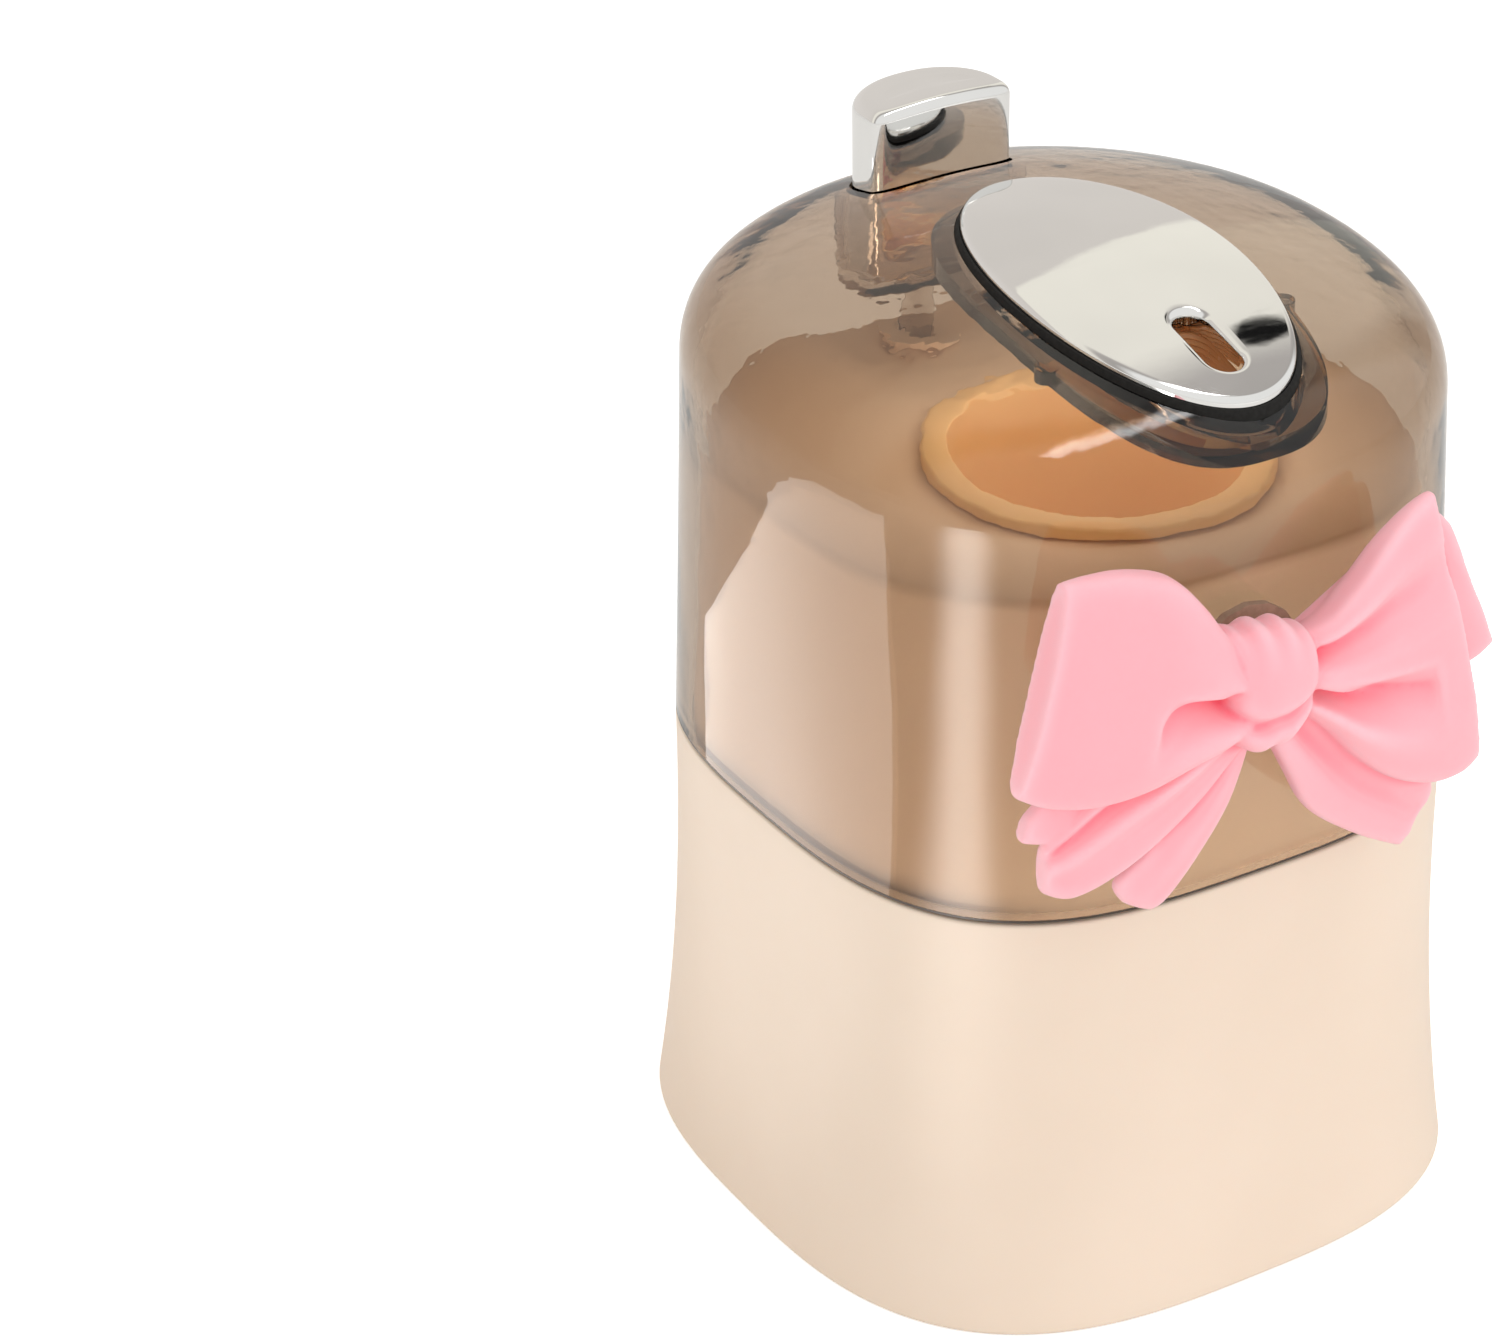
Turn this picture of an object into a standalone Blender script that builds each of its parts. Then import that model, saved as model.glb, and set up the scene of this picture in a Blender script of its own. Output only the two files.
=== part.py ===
"""Push-button toothpick dispenser: cream base, smoky lift-off cover, chrome plate and button, pink bow.

Metres, +Z up. The origin is the middle of the underside. The bow faces -Y and the button is at +Y.
"""

import math

import bmesh
import bpy
from mathutils import Matrix, Vector

# Fits
running_gap = 0.0003
cover_slip_gap = 0.0005
cut_overrun = 0.0040
join_overlap = 0.0008

# Base shell: a rounded square that flares outward to its foot
base_foot_half = 0.0381
base_foot_squareness = 2.90
base_flare = 0.0031
seam_squareness = 3.06
seam_height = 0.0467
base_flare_power = 2.28
base_wall = 0.0022
base_edge_round = 0.0006
base_lip_width = 0.0055
base_lip_height = 0.0012
base_flare_step_power = 1.3

# Bottom plate, with a flange inside the base shell
bottom_flange_height = 0.0012

# Cover: walls, domed roof and the round between them
crown_spread = 0.0013
crown_squareness = 2.245
cover_wall = 0.0020
roof_wall = 0.0020
deck_to_roof = 0.0216
roof_radius = 0.0952
roof_lean = 0.0363
shoulder_round = 0.0065

# Chrome plate let into the roof, with its slot
plate_half_width = 0.0124
plate_front_setback = 0.0045
plate_to_button = 0.0092
plate_thickness = 0.0022
plate_edge_round = 0.0005
plate_lift = 0.0014
plate_rim_gap = 0.0006
slot_width = 0.0038
slot_length = 0.0086
slot_setback = 0.0082

# Black seal under the plate and the skirt that carries both
seal_thickness = 0.0005
seal_width = 0.0011
skirt_thickness = 0.0027
skirt_outset = 0.0012
skirt_depth = 0.0060
skirt_front_reach = 0.0002
skirt_squareness = 2.6
rib_radius = 0.0012
rib_setback = 0.0148

# Pick guide bonded under the plate
guide_throat_share = 0.7
guide_flange_height = 0.0012
guide_drop = 0.0040
guide_slot_ease = 0.0003

# Button: a chrome cap in a sleeve under the roof
button_half_width = 0.0083
button_depth = 0.0090
button_front_depth = 0.0033
button_back_setback = 0.0070
button_front_squareness = 5.0
button_back_squareness = 2.3
button_proud = 0.0069
button_crown = 0.0006
button_round = 0.0011
button_crown_shares = (0.35, 0.75)
button_over_deck = 0.0100
button_wall = 0.0012
button_roof_wall = 0.0018
sleeve_wall = 0.0012
retainer_flange_height = 0.0015
retainer_flange_reach = 0.0014
retainer_neck_height = 0.0045

# Hopper: the cream box inside the cover, with its deck
deck_height = 0.0800
deck_thickness = 0.0018
hopper_wall = 0.0016
hopper_edge_round = 0.0012
post_radius = 0.0032
post_height = 0.0180

# Toothpick cup in the round mouth of the deck
cup_bore_share = 0.402
lifter_to_bore = 0.0028
cup_wall = 0.0012
cup_lip_width = 0.0016
cup_lip_height = 0.0010
cup_floor_thickness = 0.0014
ramp_low = 0.0010
ramp_high = 0.0070

# Rocker lever and its pin
pivot_to_button = 0.0096
lever_floor_gap = 0.0004
pivot_pin_radius = 0.0012
rear_arm = 0.0115
lifter_setback = 0.00531
lever_swing = 0.46
lever_width = 0.0060
lever_web_width = 0.0036
lever_height = 0.0030
lever_hub_radius = 0.0034
lever_nose_radius = 0.0017

# Lever frame on the bottom plate
frame_plate_height = 0.0016
frame_half_width = 0.0100
frame_front_reach = 0.0060
cheek_thickness = 0.0020
cheek_over_pivot = 0.0043
tower_setback = 0.0055
shelf_top = 0.0300
shelf_thickness = 0.0016

# Push rod, its collar, bush and return spring
rod_radius = 0.0016
rod_foot_radius = 0.0024
rod_foot_height = 0.0020
rod_head_radius = 0.0026
rod_head_height = 0.0012
collar_radius = 0.0042
collar_height = 0.0015
collar_bottom = 0.0470
bush_radius = 0.0030
bush_flange_radius = 0.0042
bush_flange_height = 0.0008
bush_depth = 0.0050
washer_radius = 0.0043
washer_height = 0.0005
spring_radius = 0.0033
spring_wire_radius = 0.00035
spring_turns = 7
spring_turn_points = 10

# Lifter under the slot
lifter_radius = 0.0010
lifter_foot_radius = 0.0026
lifter_foot_height = 0.0010
lifter_headroom = 0.0005
lifter_cap_radius = 0.0017
lifter_cap_height = 0.0016
lifter_cap_dish = 0.0006
lifter_cap_flat_share = 0.35

# Screws
screw_head_radius = 0.0022
screw_head_height = 0.0011
screw_head_recess = 0.0003
screw_head_face_share = 0.8
screw_tip_share = 0.5
screw_shank_radius = 0.0010
bottom_screw_length = 0.0110
frame_screw_length = 0.0036
frame_screw_inset = 0.0025
frame_screw_setback = 0.0075

# Bow, glued to the front by a pad
bow_centre_x = -0.0045
bow_below_roof = 0.0291
bow_half_width = 0.0285
bow_half_height = 0.0220
bow_depth = 0.0062
pad_radius = 0.0062
pad_thickness = 0.0008

# Sizes and places that follow from the ones above
seam_half = base_foot_half - base_flare
crown_half = seam_half + crown_spread
roof_top = deck_height + deck_to_roof
button_top = roof_top + button_proud
button_bottom = deck_height + button_over_deck
button_back_y = crown_half - button_back_setback
button_flat_y = button_back_y - button_depth
button_waist_y = button_flat_y + button_front_depth
plate_front_y = plate_front_setback - crown_half
plate_back_y = button_flat_y - plate_to_button
plate_half_length = (plate_back_y - plate_front_y) / 2
plate_centre_y = (plate_back_y + plate_front_y) / 2
slot_centre_y = plate_front_y + slot_setback
rib_y = plate_front_y + rib_setback
pivot_y = button_waist_y - pivot_to_button
lifter_y = slot_centre_y + lifter_setback
rod_y = pivot_y + rear_arm * math.cos(lever_swing / 4)
front_arm = (pivot_y - lifter_y) / math.cos(lever_swing / 4)
frame_front_y = pivot_y - frame_front_reach
tower_front_y = pivot_y + tower_setback
frame_screw_y = pivot_y + frame_screw_setback
cup_bore_radius = crown_half * cup_bore_share
mouth_y = lifter_y - lifter_to_bore + cup_bore_radius
bottom_top = base_lip_height + running_gap + bottom_flange_height
nose_rise = front_arm * math.sin(lever_swing / 2)
pivot_height = bottom_top + lever_floor_gap + lever_nose_radius + nose_rise
cheek_top = pivot_height + cheek_over_pivot
lifter_foot_raised = pivot_height + nose_rise + lever_nose_radius + running_gap
cup_underside = lifter_foot_raised + lifter_foot_height + lifter_headroom
cup_floor_height = cup_underside + cup_floor_thickness
bow_centre_height = roof_top - bow_below_roof

# Facets
wall_facets = 56
cup_facets = 32
pin_facets = 16
outline_facets = 36
shoulder_steps = 5
dome_steps = 3
flare_steps = 6
edge_steps = 3
sharp_edge_degrees = 35

# Finishes: name, colour, roughness, metallic and alpha
CREAM_PLASTIC = ("cream plastic", (0.973, 0.806, 0.632), 0.42, 0.0, 1.0)
SMOKY_PLASTIC = ("smoky plastic", (0.380, 0.270, 0.190), 0.06, 0.0, 0.45)
CHROME = ("chrome plating", (0.820, 0.810, 0.790), 0.06, 1.0, 1.0)
AMBER_PLASTIC = ("amber plastic", (0.780, 0.420, 0.130), 0.25, 0.0, 0.85)
STEEL = ("steel", (0.560, 0.570, 0.580), 0.30, 1.0, 1.0)
BLACK_RUBBER = ("black rubber", (0.020, 0.018, 0.016), 0.70, 0.0, 1.0)
WHITE_PLASTIC = ("white plastic", (0.850, 0.840, 0.810), 0.40, 0.0, 1.0)
PINK_SILICONE = ("pink silicone", (1.000, 0.470, 0.545), 0.60, 0.0, 1.0)
PAD_FOAM = ("pad foam", (0.850, 0.840, 0.810), 0.80, 0.0, 1.0)


def clear_scene():
    """Remove whatever the scene holds."""
    for obj in list(bpy.data.objects):
        bpy.data.objects.remove(obj, do_unlink=True)


def finish(name, colour, roughness, metallic, alpha):
    """A material with one Principled shader."""
    made = bpy.data.materials.new(name)
    made.use_nodes = True
    shader = made.node_tree.nodes["Principled BSDF"]
    shader.inputs["Base Color"].default_value = (*colour, 1.0)
    shader.inputs["Roughness"].default_value = roughness
    shader.inputs["Metallic"].default_value = metallic
    shader.inputs["Alpha"].default_value = alpha
    made.diffuse_color = (*colour, alpha)
    return made


def empty(name, place, parent=None):
    """An empty on a joint's axis, at a place given in the world."""
    made = bpy.data.objects.new(name, None)
    bpy.context.scene.collection.objects.link(made)
    made.parent = parent
    made.location = Vector(place) - (world_place(parent) if parent else Vector())
    return made


def world_place(obj):
    """Where an unturned chain of parents puts an object."""
    place = Vector(obj.location)
    while obj.parent:
        obj = obj.parent
        place += obj.location
    return place


def add_object(name, bm, material, parent=None, origin=(0.0, 0.0, 0.0), smooth=True):
    """Make an object from a mesh built in the world, with its origin at a given place."""
    bmesh.ops.recalc_face_normals(bm, faces=bm.faces)
    bmesh.ops.translate(bm, vec=-Vector(origin), verts=bm.verts)
    mesh = bpy.data.meshes.new(name)
    bm.to_mesh(mesh)
    bm.free()
    if smooth:
        mesh.shade_smooth()
        mesh.set_sharp_from_angle(angle=math.radians(sharp_edge_degrees))
    obj = bpy.data.objects.new(name, mesh)
    bpy.context.scene.collection.objects.link(obj)
    if material:
        mesh.materials.append(material)
    obj.parent = parent
    obj.location = Vector(origin) - (world_place(parent) if parent else Vector())
    return obj


def helper(name, bm):
    """A hidden object that cuts or joins another."""
    obj = add_object(name, bm, None)
    obj.hide_render = True
    obj.display_type = "WIRE"
    return obj


def combine(obj, operation, name, bm):
    """Cut a shape from an object, or join it on, with a Boolean modifier."""
    other = helper(f"{obj.name}_{name}", bm)
    modifier = obj.modifiers.new(name, "BOOLEAN")
    modifier.operation = operation
    modifier.solver = "EXACT"
    modifier.object = other
    return other


def cut(obj, name, bm):
    """Cut a shape out of an object."""
    return combine(obj, "DIFFERENCE", name, bm)


def join(obj, name, bm):
    """Join a shape to an object."""
    return combine(obj, "UNION", name, bm)


def followed_ring(bm, ring_of, made, points):
    """Place the vertices that an extrusion made, each at the point of the vertex it came from."""
    new_ring = {}
    for vert in (item for item in made if isinstance(item, bmesh.types.BMVert)):
        for edge in vert.link_edges:
            old = edge.other_vert(vert)
            if old in ring_of:
                new_ring[vert] = ring_of[old]
                vert.co = points[ring_of[old]]
                break
    return new_ring


def loft_solid(rings):
    """A closed solid through rings of points, its first and last rings capped."""
    bm = bmesh.new()
    verts = [bm.verts.new(point) for point in rings[0]]
    ring_of = {vert: number for number, vert in enumerate(verts)}
    cap = bm.faces.new(verts)
    for number, points in enumerate(rings[1:]):
        made = bmesh.ops.extrude_face_region(bm, geom=[cap])["geom"]
        if number > 0 and cap.is_valid:
            bmesh.ops.delete(bm, geom=[cap], context="FACES_ONLY")
        cap = next(item for item in made if isinstance(item, bmesh.types.BMFace))
        ring_of = followed_ring(bm, ring_of, made, points)
    return bm


def loft_tube(rings):
    """A closed ring-shaped solid: the rings go round its section, and the last meets the first."""
    bm = bmesh.new()
    verts = [bm.verts.new(point) for point in rings[0]]
    ring_of = {vert: number for number, vert in enumerate(verts)}
    first = [bm.edges.new((verts[number - 1], verts[number])) for number in range(len(verts))]
    edges = first
    for points in rings[1:]:
        made = bmesh.ops.extrude_edge_only(bm, edges=edges)["geom"]
        edges = [item for item in made if isinstance(item, bmesh.types.BMEdge)]
        ring_of = followed_ring(bm, ring_of, made, points)
        edges = [edge for edge in edges if edge.verts[0] in ring_of and edge.verts[1] in ring_of]
    bmesh.ops.bridge_loops(bm, edges=first + edges)
    return bm


def angles(count):
    """Even directions round the Z axis."""
    return [2 * math.pi * number / count for number in range(count)]


def edge_turns():
    """The turns that step round a rounded edge."""
    return [math.pi / 2 * step / edge_steps for step in range(1, edge_steps + 1)]


def circle(radius, centre, height, count=pin_facets):
    """A level ring round a vertical axis."""
    return [
        Vector((centre[0] + radius * math.cos(a), centre[1] + radius * math.sin(a), height))
        for a in angles(count)
    ]


def turned(profile, centre, count=pin_facets):
    """A solid of revolution round a vertical axis, from (radius, height) pairs, bottom to top."""
    return loft_solid([circle(radius, centre, height, count) for radius, height in profile])


def cross_pin(radius, half_length, y, height, count=pin_facets):
    """A cylinder that lies along X."""
    bm = turned(((radius, -half_length), (radius, half_length)), (0.0, 0.0), count)
    bmesh.ops.rotate(bm, matrix=Matrix.Rotation(math.radians(90), 3, "Y"), verts=bm.verts)
    bmesh.ops.translate(bm, vec=(0.0, y, height), verts=bm.verts)
    return bm


def block(low, high):
    """A box between two corners."""
    bm = bmesh.new()
    bmesh.ops.create_cube(bm, size=1.0)
    low, high = Vector(low), Vector(high)
    bmesh.ops.scale(bm, vec=high - low, verts=bm.verts)
    bmesh.ops.translate(bm, vec=(low + high) / 2, verts=bm.verts)
    return bm


def reach(angle, half, squareness):
    """Distance from the centre to the outline of a rounded square."""
    across = abs(math.cos(angle)) ** squareness + abs(math.sin(angle)) ** squareness
    return half / across ** (1 / squareness)


def polar_ring(distance_of, height_of, count=wall_facets):
    """A ring from a distance and a height in each direction."""
    ring = []
    for a in angles(count):
        distance = distance_of(a)
        x, y = distance * math.cos(a), distance * math.sin(a)
        ring.append(Vector((x, y, height_of(x, y))))
    return ring


def level(height):
    """A height that is the same everywhere."""
    return lambda x, y: height


def dome(x, y):
    """Height of the roof's outer face."""
    return roof_top - (x * x + y * y) / (2 * roof_radius) + roof_lean * y


# Base

def base_half(height):
    """Half width of the base shell's outside at a height."""
    return seam_half + (base_foot_half - seam_half) * (1 - height / seam_height) ** base_flare_power


def base_squareness(height):
    """Squareness of the base shell at a height."""
    return base_foot_squareness + (seam_squareness - base_foot_squareness) * height / seam_height


def base_ring(height, inset):
    """A ring on the base shell's outside, drawn in by an inset."""
    half, squareness = base_half(height), base_squareness(height)
    return polar_ring(lambda a: reach(a, half, squareness) - inset, level(height))


def flare_heights(low, high, steps):
    """Heights up the flare, closer together at the foot where it curves more."""
    return [low + (high - low) * (step / steps) ** base_flare_step_power for step in range(steps + 1)]


def build_base_shell(material):
    """The flared cream shell, open above, with a lip round its foot."""
    outer = [base_ring(0.0, base_edge_round)]
    outer += [base_ring(height, 0.0) for height in flare_heights(base_edge_round, seam_height, flare_steps)]
    inner = flare_heights(base_lip_height, seam_height, flare_steps // 2)
    wall = [base_ring(height, base_wall) for height in reversed(inner)]
    lip = [base_ring(height, base_lip_width) for height in (base_lip_height, 0.0)]
    return add_object("base_shell", loft_tube(outer + wall + lip), material)


def screw_places():
    """Where the four screws of the bottom plate stand, in the hopper's corner posts."""
    corner = math.radians(45)
    inside = reach(corner, seam_half, seam_squareness) - base_wall - running_gap - hopper_wall
    place = (inside - post_radius + join_overlap) * math.cos(corner)
    return [(x, y) for x in (-place, place) for y in (-place, place)]


def frame_screw_places():
    """Where the two screws of the lever frame stand."""
    return [(side * (frame_half_width - frame_screw_inset), frame_screw_y) for side in (-1, 1)]


def build_bottom_plate(material):
    """The plate that closes the foot: a plug in the lip's opening and a flange above the lip."""
    plug = base_lip_width + running_gap
    flange = base_wall + running_gap
    step = base_lip_height + running_gap
    profile = ((0.0, plug), (step, plug), (step, flange), (bottom_top, flange))
    rings = [base_ring(height, inset) for height, inset in profile]
    plate = add_object("bottom_plate", loft_solid(rings), material)
    sink = screw_head_recess + screw_head_height + running_gap
    for number, place in enumerate(screw_places() + frame_screw_places()):
        wide = screw_head_radius + running_gap
        narrow = screw_shank_radius + running_gap
        profile = ((wide, -cut_overrun), (wide, sink), (narrow, sink), (narrow, bottom_top + cut_overrun))
        cut(plate, f"screw_hole_{number + 1}", turned(profile, place))
    return plate


def build_screw(name, place, length, material):
    """A pan-head screw standing head down."""
    head_bottom = screw_head_recess
    head_top = head_bottom + screw_head_height
    narrow = screw_shank_radius
    profile = (
        (screw_head_radius * screw_head_face_share, head_bottom),
        (screw_head_radius, head_bottom + screw_head_height * (1 - screw_head_face_share)),
        (screw_head_radius, head_top),
        (narrow, head_top),
        (narrow, head_top + length - narrow),
        (narrow * screw_tip_share, head_top + length),
    )
    return add_object(name, turned(profile, place), material)


# Hopper

def hopper_reach(angle, height):
    """The hopper's outside, inside the cover wherever the cover passes it."""
    seam = reach(angle, seam_half, seam_squareness)
    if height <= seam_height:
        return seam - base_wall - running_gap
    return min(cover_reach(angle, height), seam) - cover_wall - cover_slip_gap


def hopper_ring(height, inset, at=None):
    """A ring on the hopper, its shape taken at one height and its place at another."""
    return polar_ring(
        lambda a: hopper_reach(a, height) - inset, level(height if at is None else at)
    )


def build_hopper(material):
    """The cream box with a flat deck, a round mouth and a post in each corner."""
    foot = bottom_top + running_gap
    shoulder = seam_height + cover_slip_gap
    side_top = deck_height - hopper_edge_round
    rings = [hopper_ring(height, 0.0) for height in (foot, seam_height)]
    rings += [hopper_ring(height, 0.0) for height in (shoulder, (shoulder + side_top) / 2, side_top)]
    for turn in edge_turns():
        inset = hopper_edge_round * (1 - math.cos(turn))
        rings.append(hopper_ring(side_top, inset, side_top + hopper_edge_round * math.sin(turn)))
    hopper = add_object("hopper_box", loft_solid(rings), material)
    ceiling = deck_height - deck_thickness
    inner = [hopper_ring(height, hopper_wall) for height in (foot, seam_height, shoulder, ceiling)]
    inner[0] = hopper_ring(foot, hopper_wall, foot - cut_overrun)
    cut(hopper, "inside", loft_solid(inner))
    mouth = cup_bore_radius + cup_wall + running_gap
    ends = (ceiling - cut_overrun, deck_height + cut_overrun)
    cut(hopper, "mouth", turned([(mouth, end) for end in ends], (0.0, mouth_y), cup_facets))
    bush = bush_radius + running_gap
    cut(hopper, "bush_hole", turned([(bush, end) for end in ends], (0.0, rod_y)))
    for number, place in enumerate(screw_places()):
        post = ((post_radius, foot), (post_radius, foot + post_height))
        join(hopper, f"post_{number + 1}", turned(post, place))
        pilot = screw_shank_radius + running_gap
        depth = bottom_screw_length + running_gap
        pilot_profile = ((pilot, foot - cut_overrun), (pilot, foot + depth))
        cut(hopper, f"pilot_{number + 1}", turned(pilot_profile, place))
    return hopper


def build_cup(material):
    """The amber cup that the toothpicks stand in, hung by its lip from the deck."""
    bore, wall = cup_bore_radius, cup_bore_radius + cup_wall
    lip_bottom = deck_height + running_gap
    lip_top = lip_bottom + cup_lip_height
    lip = wall + cup_lip_width
    profile = ((wall, cup_underside), (wall, lip_bottom), (lip, lip_bottom), (lip, lip_top))
    cup = add_object("toothpick_cup", turned(profile, (0.0, mouth_y), cup_facets), material)
    ends = (cup_floor_height, lip_top + cut_overrun)
    cut(cup, "bore", turned([(bore, end) for end in ends], (0.0, mouth_y), cup_facets))
    hole = lifter_cap_radius + running_gap
    cut(cup, "lifter_hole", turned(((hole, cup_underside - cut_overrun), (hole, lip_top)), (0.0, lifter_y)))
    return cup


def build_ramp(material):
    """A wedge on the cup's floor that slides the picks' feet to the lifter."""
    radius = cup_bore_radius - running_gap
    foot = cup_floor_height + running_gap
    low_y, high_y = mouth_y - radius, mouth_y + radius

    def slope(y):
        return foot + ramp_low + (ramp_high - ramp_low) * (y - low_y) / (high_y - low_y)

    lower = circle(radius, (0.0, mouth_y), foot, cup_facets)
    upper = [Vector((point.x, point.y, slope(point.y))) for point in lower]
    ramp = add_object("pick_ramp", loft_solid([lower, upper]), material)
    hole = lifter_cap_radius + running_gap
    ends = (foot - cut_overrun, foot + ramp_high + cut_overrun)
    cut(ramp, "lifter_hole", turned([(hole, end) for end in ends], (0.0, lifter_y)))
    return ramp


# Lever, frame and rod

def nose_height(arm, side):
    """Height of a nose's middle at rest: side 1 is the raised rear, side -1 the lowered front."""
    return pivot_height + side * arm * math.sin(lever_swing / 2)


def rod_foot():
    """Height of the push rod's lower end at rest."""
    return nose_height(rear_arm, 1) + lever_nose_radius + running_gap


def rod_head():
    """Height of the push rod's upper end at rest, just under the button's retainer."""
    return button_bottom - running_gap - retainer_flange_height - running_gap


def build_lever(material, pivot):
    """The rocker, modelled level and then tipped to its rest, its front end down."""
    at = (0.0, pivot_y, pivot_height)
    half = lever_width / 2
    hub = cross_pin(lever_hub_radius, half, pivot_y, pivot_height)
    lever = add_object("rocker_lever", hub, material, pivot, at)
    low = (-lever_web_width / 2, -front_arm, -lever_height / 2)
    high = (lever_web_width / 2, rear_arm, lever_height / 2)
    bore = cross_pin(pivot_pin_radius + running_gap, half + cut_overrun, 0.0, 0.0)
    parts = [join(lever, "web", block(low, high))]
    for name, y in (("front_nose", -front_arm), ("rear_nose", rear_arm)):
        parts.append(join(lever, name, cross_pin(lever_nose_radius, half, y, 0.0)))
    parts.append(cut(lever, "bore", bore))
    for part in parts:
        part.parent = lever
    lever.rotation_euler.x = lever_swing / 2
    return lever


def build_frame(material):
    """The frame that carries the pin between two cheeks, and the spring on a shelf."""
    foot = bottom_top + running_gap
    top = foot + frame_plate_height
    inside = lever_width / 2 + running_gap
    outside = inside + cheek_thickness
    rear = reach(math.pi / 2, seam_half, seam_squareness) - base_wall - 2 * running_gap - hopper_wall
    rear -= running_gap
    side = frame_half_width
    frame = add_object("lever_frame", block((-side, frame_front_y, foot), (side, rear, top)), material)
    tower_rear = rear - join_overlap
    cheek_front = frame_front_y + join_overlap
    for name, sign in (("left", -1), ("right", 1)):
        near, far = sorted((sign * inside, sign * outside))
        low_cheek = block((near, cheek_front, top - join_overlap), (far, tower_rear, cheek_top))
        tower = block(
            (near + join_overlap / 4, tower_front_y, top - join_overlap / 2),
            (far - join_overlap / 4, tower_rear - join_overlap / 2, shelf_top - join_overlap / 2),
        )
        join(frame, f"{name}_cheek", low_cheek)
        join(frame, f"{name}_tower", tower)
    shelf = block(
        (-outside - join_overlap, tower_front_y - join_overlap, shelf_top - shelf_thickness),
        (outside + join_overlap, rear, shelf_top),
    )
    join(frame, "shelf", shelf)
    rod = rod_radius + running_gap
    rod_profile = ((rod, shelf_top - shelf_thickness - cut_overrun), (rod, shelf_top + cut_overrun))
    cut(frame, "rod_hole", turned(rod_profile, (0.0, rod_y)))
    pin = pivot_pin_radius + running_gap
    cut(frame, "pin_hole", cross_pin(pin, outside + cut_overrun, pivot_y, pivot_height))
    for number, place in enumerate(frame_screw_places()):
        hole = screw_shank_radius + running_gap
        cut(frame, f"screw_hole_{number + 1}", turned(((hole, 0.0), (hole, top + running_gap)), place))
    return frame


def build_rod(material, slide):
    """The push rod, from the rocker's rear nose up to the button."""
    profile = (
        (rod_foot_radius, rod_foot()),
        (rod_foot_radius, rod_foot() + rod_foot_height),
        (rod_radius, rod_foot() + rod_foot_height),
        (rod_radius, rod_head() - rod_head_height),
        (rod_head_radius, rod_head() - rod_head_height),
        (rod_head_radius, rod_head()),
    )
    at = (0.0, rod_y)
    return add_object("push_rod", turned(profile, at), material, slide, (0.0, rod_y, rod_foot()))


def washer(name, inner, outer, low, high, place, material, parent=None, origin=(0.0, 0.0, 0.0)):
    """A flat ring round a vertical axis."""
    rings = [circle(*ring) for ring in (
        (inner, place, low), (outer, place, low), (outer, place, high), (inner, place, high)
    )]
    return add_object(name, loft_tube(rings), material, parent, origin)


def build_collar(material, slide):
    """The collar on the rod that the spring pushes up."""
    origin = (0.0, rod_y, rod_foot())
    return washer(
        "rod_collar", rod_radius + running_gap, collar_radius,
        collar_bottom, collar_bottom + collar_height, (0.0, rod_y), material, slide, origin,
    )


def build_bush(material):
    """The bush that guides the rod through the deck."""
    bore = rod_radius + running_gap
    flange = deck_height + running_gap
    top = flange + bush_flange_height
    place = (0.0, rod_y)
    rings = [circle(radius, place, height) for radius, height in (
        (bore, top), (bush_flange_radius, top), (bush_flange_radius, flange),
        (bush_radius, flange), (bush_radius, deck_height - bush_depth), (bore, deck_height - bush_depth),
    )]
    return add_object("rod_bush", loft_tube(rings), material)


def spring_points():
    """The middle line of the spring: a helix whose ends stand straight for one wire's width."""
    foot = shelf_top + 2 * running_gap + washer_height
    head = collar_bottom - running_gap
    end = 2 * spring_wire_radius
    count = spring_turns * spring_turn_points
    points = []
    for number in range(count + 1):
        turn = 2 * math.pi * number / spring_turn_points
        x = spring_radius * math.cos(turn)
        y = rod_y + spring_radius * math.sin(turn)
        points.append(Vector((x, y, foot + end + (head - foot - 2 * end) * number / count)))
    return [points[0] - Vector((0.0, 0.0, end))] + points + [points[-1] + Vector((0.0, 0.0, end))]


def least_turn_gap(points, wire_radius):
    """The narrowest gap between one turn of the wire and the next."""
    gap = math.inf
    for number, point in enumerate(points):
        for other in points[number + spring_turn_points // 2:]:
            gap = min(gap, (point - other).length - 2 * wire_radius)
    return gap


def build_spring(material, slide):
    """The return spring, one unbroken wire."""
    points = spring_points()
    origin = Vector((0.0, rod_y, rod_foot()))
    curve = bpy.data.curves.new("return_spring", "CURVE")
    curve.dimensions = "3D"
    curve.bevel_depth = spring_wire_radius
    curve.bevel_resolution = 1
    curve.use_fill_caps = True
    spline = curve.splines.new("POLY")
    spline.points.add(len(points) - 1)
    for number, point in enumerate(points):
        spline.points[number].co = (*(point - origin), 1.0)
    curve.materials.append(material)
    obj = bpy.data.objects.new("return_spring", curve)
    bpy.context.scene.collection.objects.link(obj)
    obj.parent = slide
    obj.location = origin - world_place(slide)
    print("least gap between the spring's turns:", round(least_turn_gap(points, spring_wire_radius), 6))
    return obj


def lifter_foot():
    """Height of the lifter's lower face at rest."""
    return nose_height(front_arm, -1) + lever_nose_radius + running_gap


def lifter_top():
    """Height of the lifter's cap at rest, level with the low end of the ramp."""
    return cup_floor_height + running_gap + ramp_low


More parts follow.
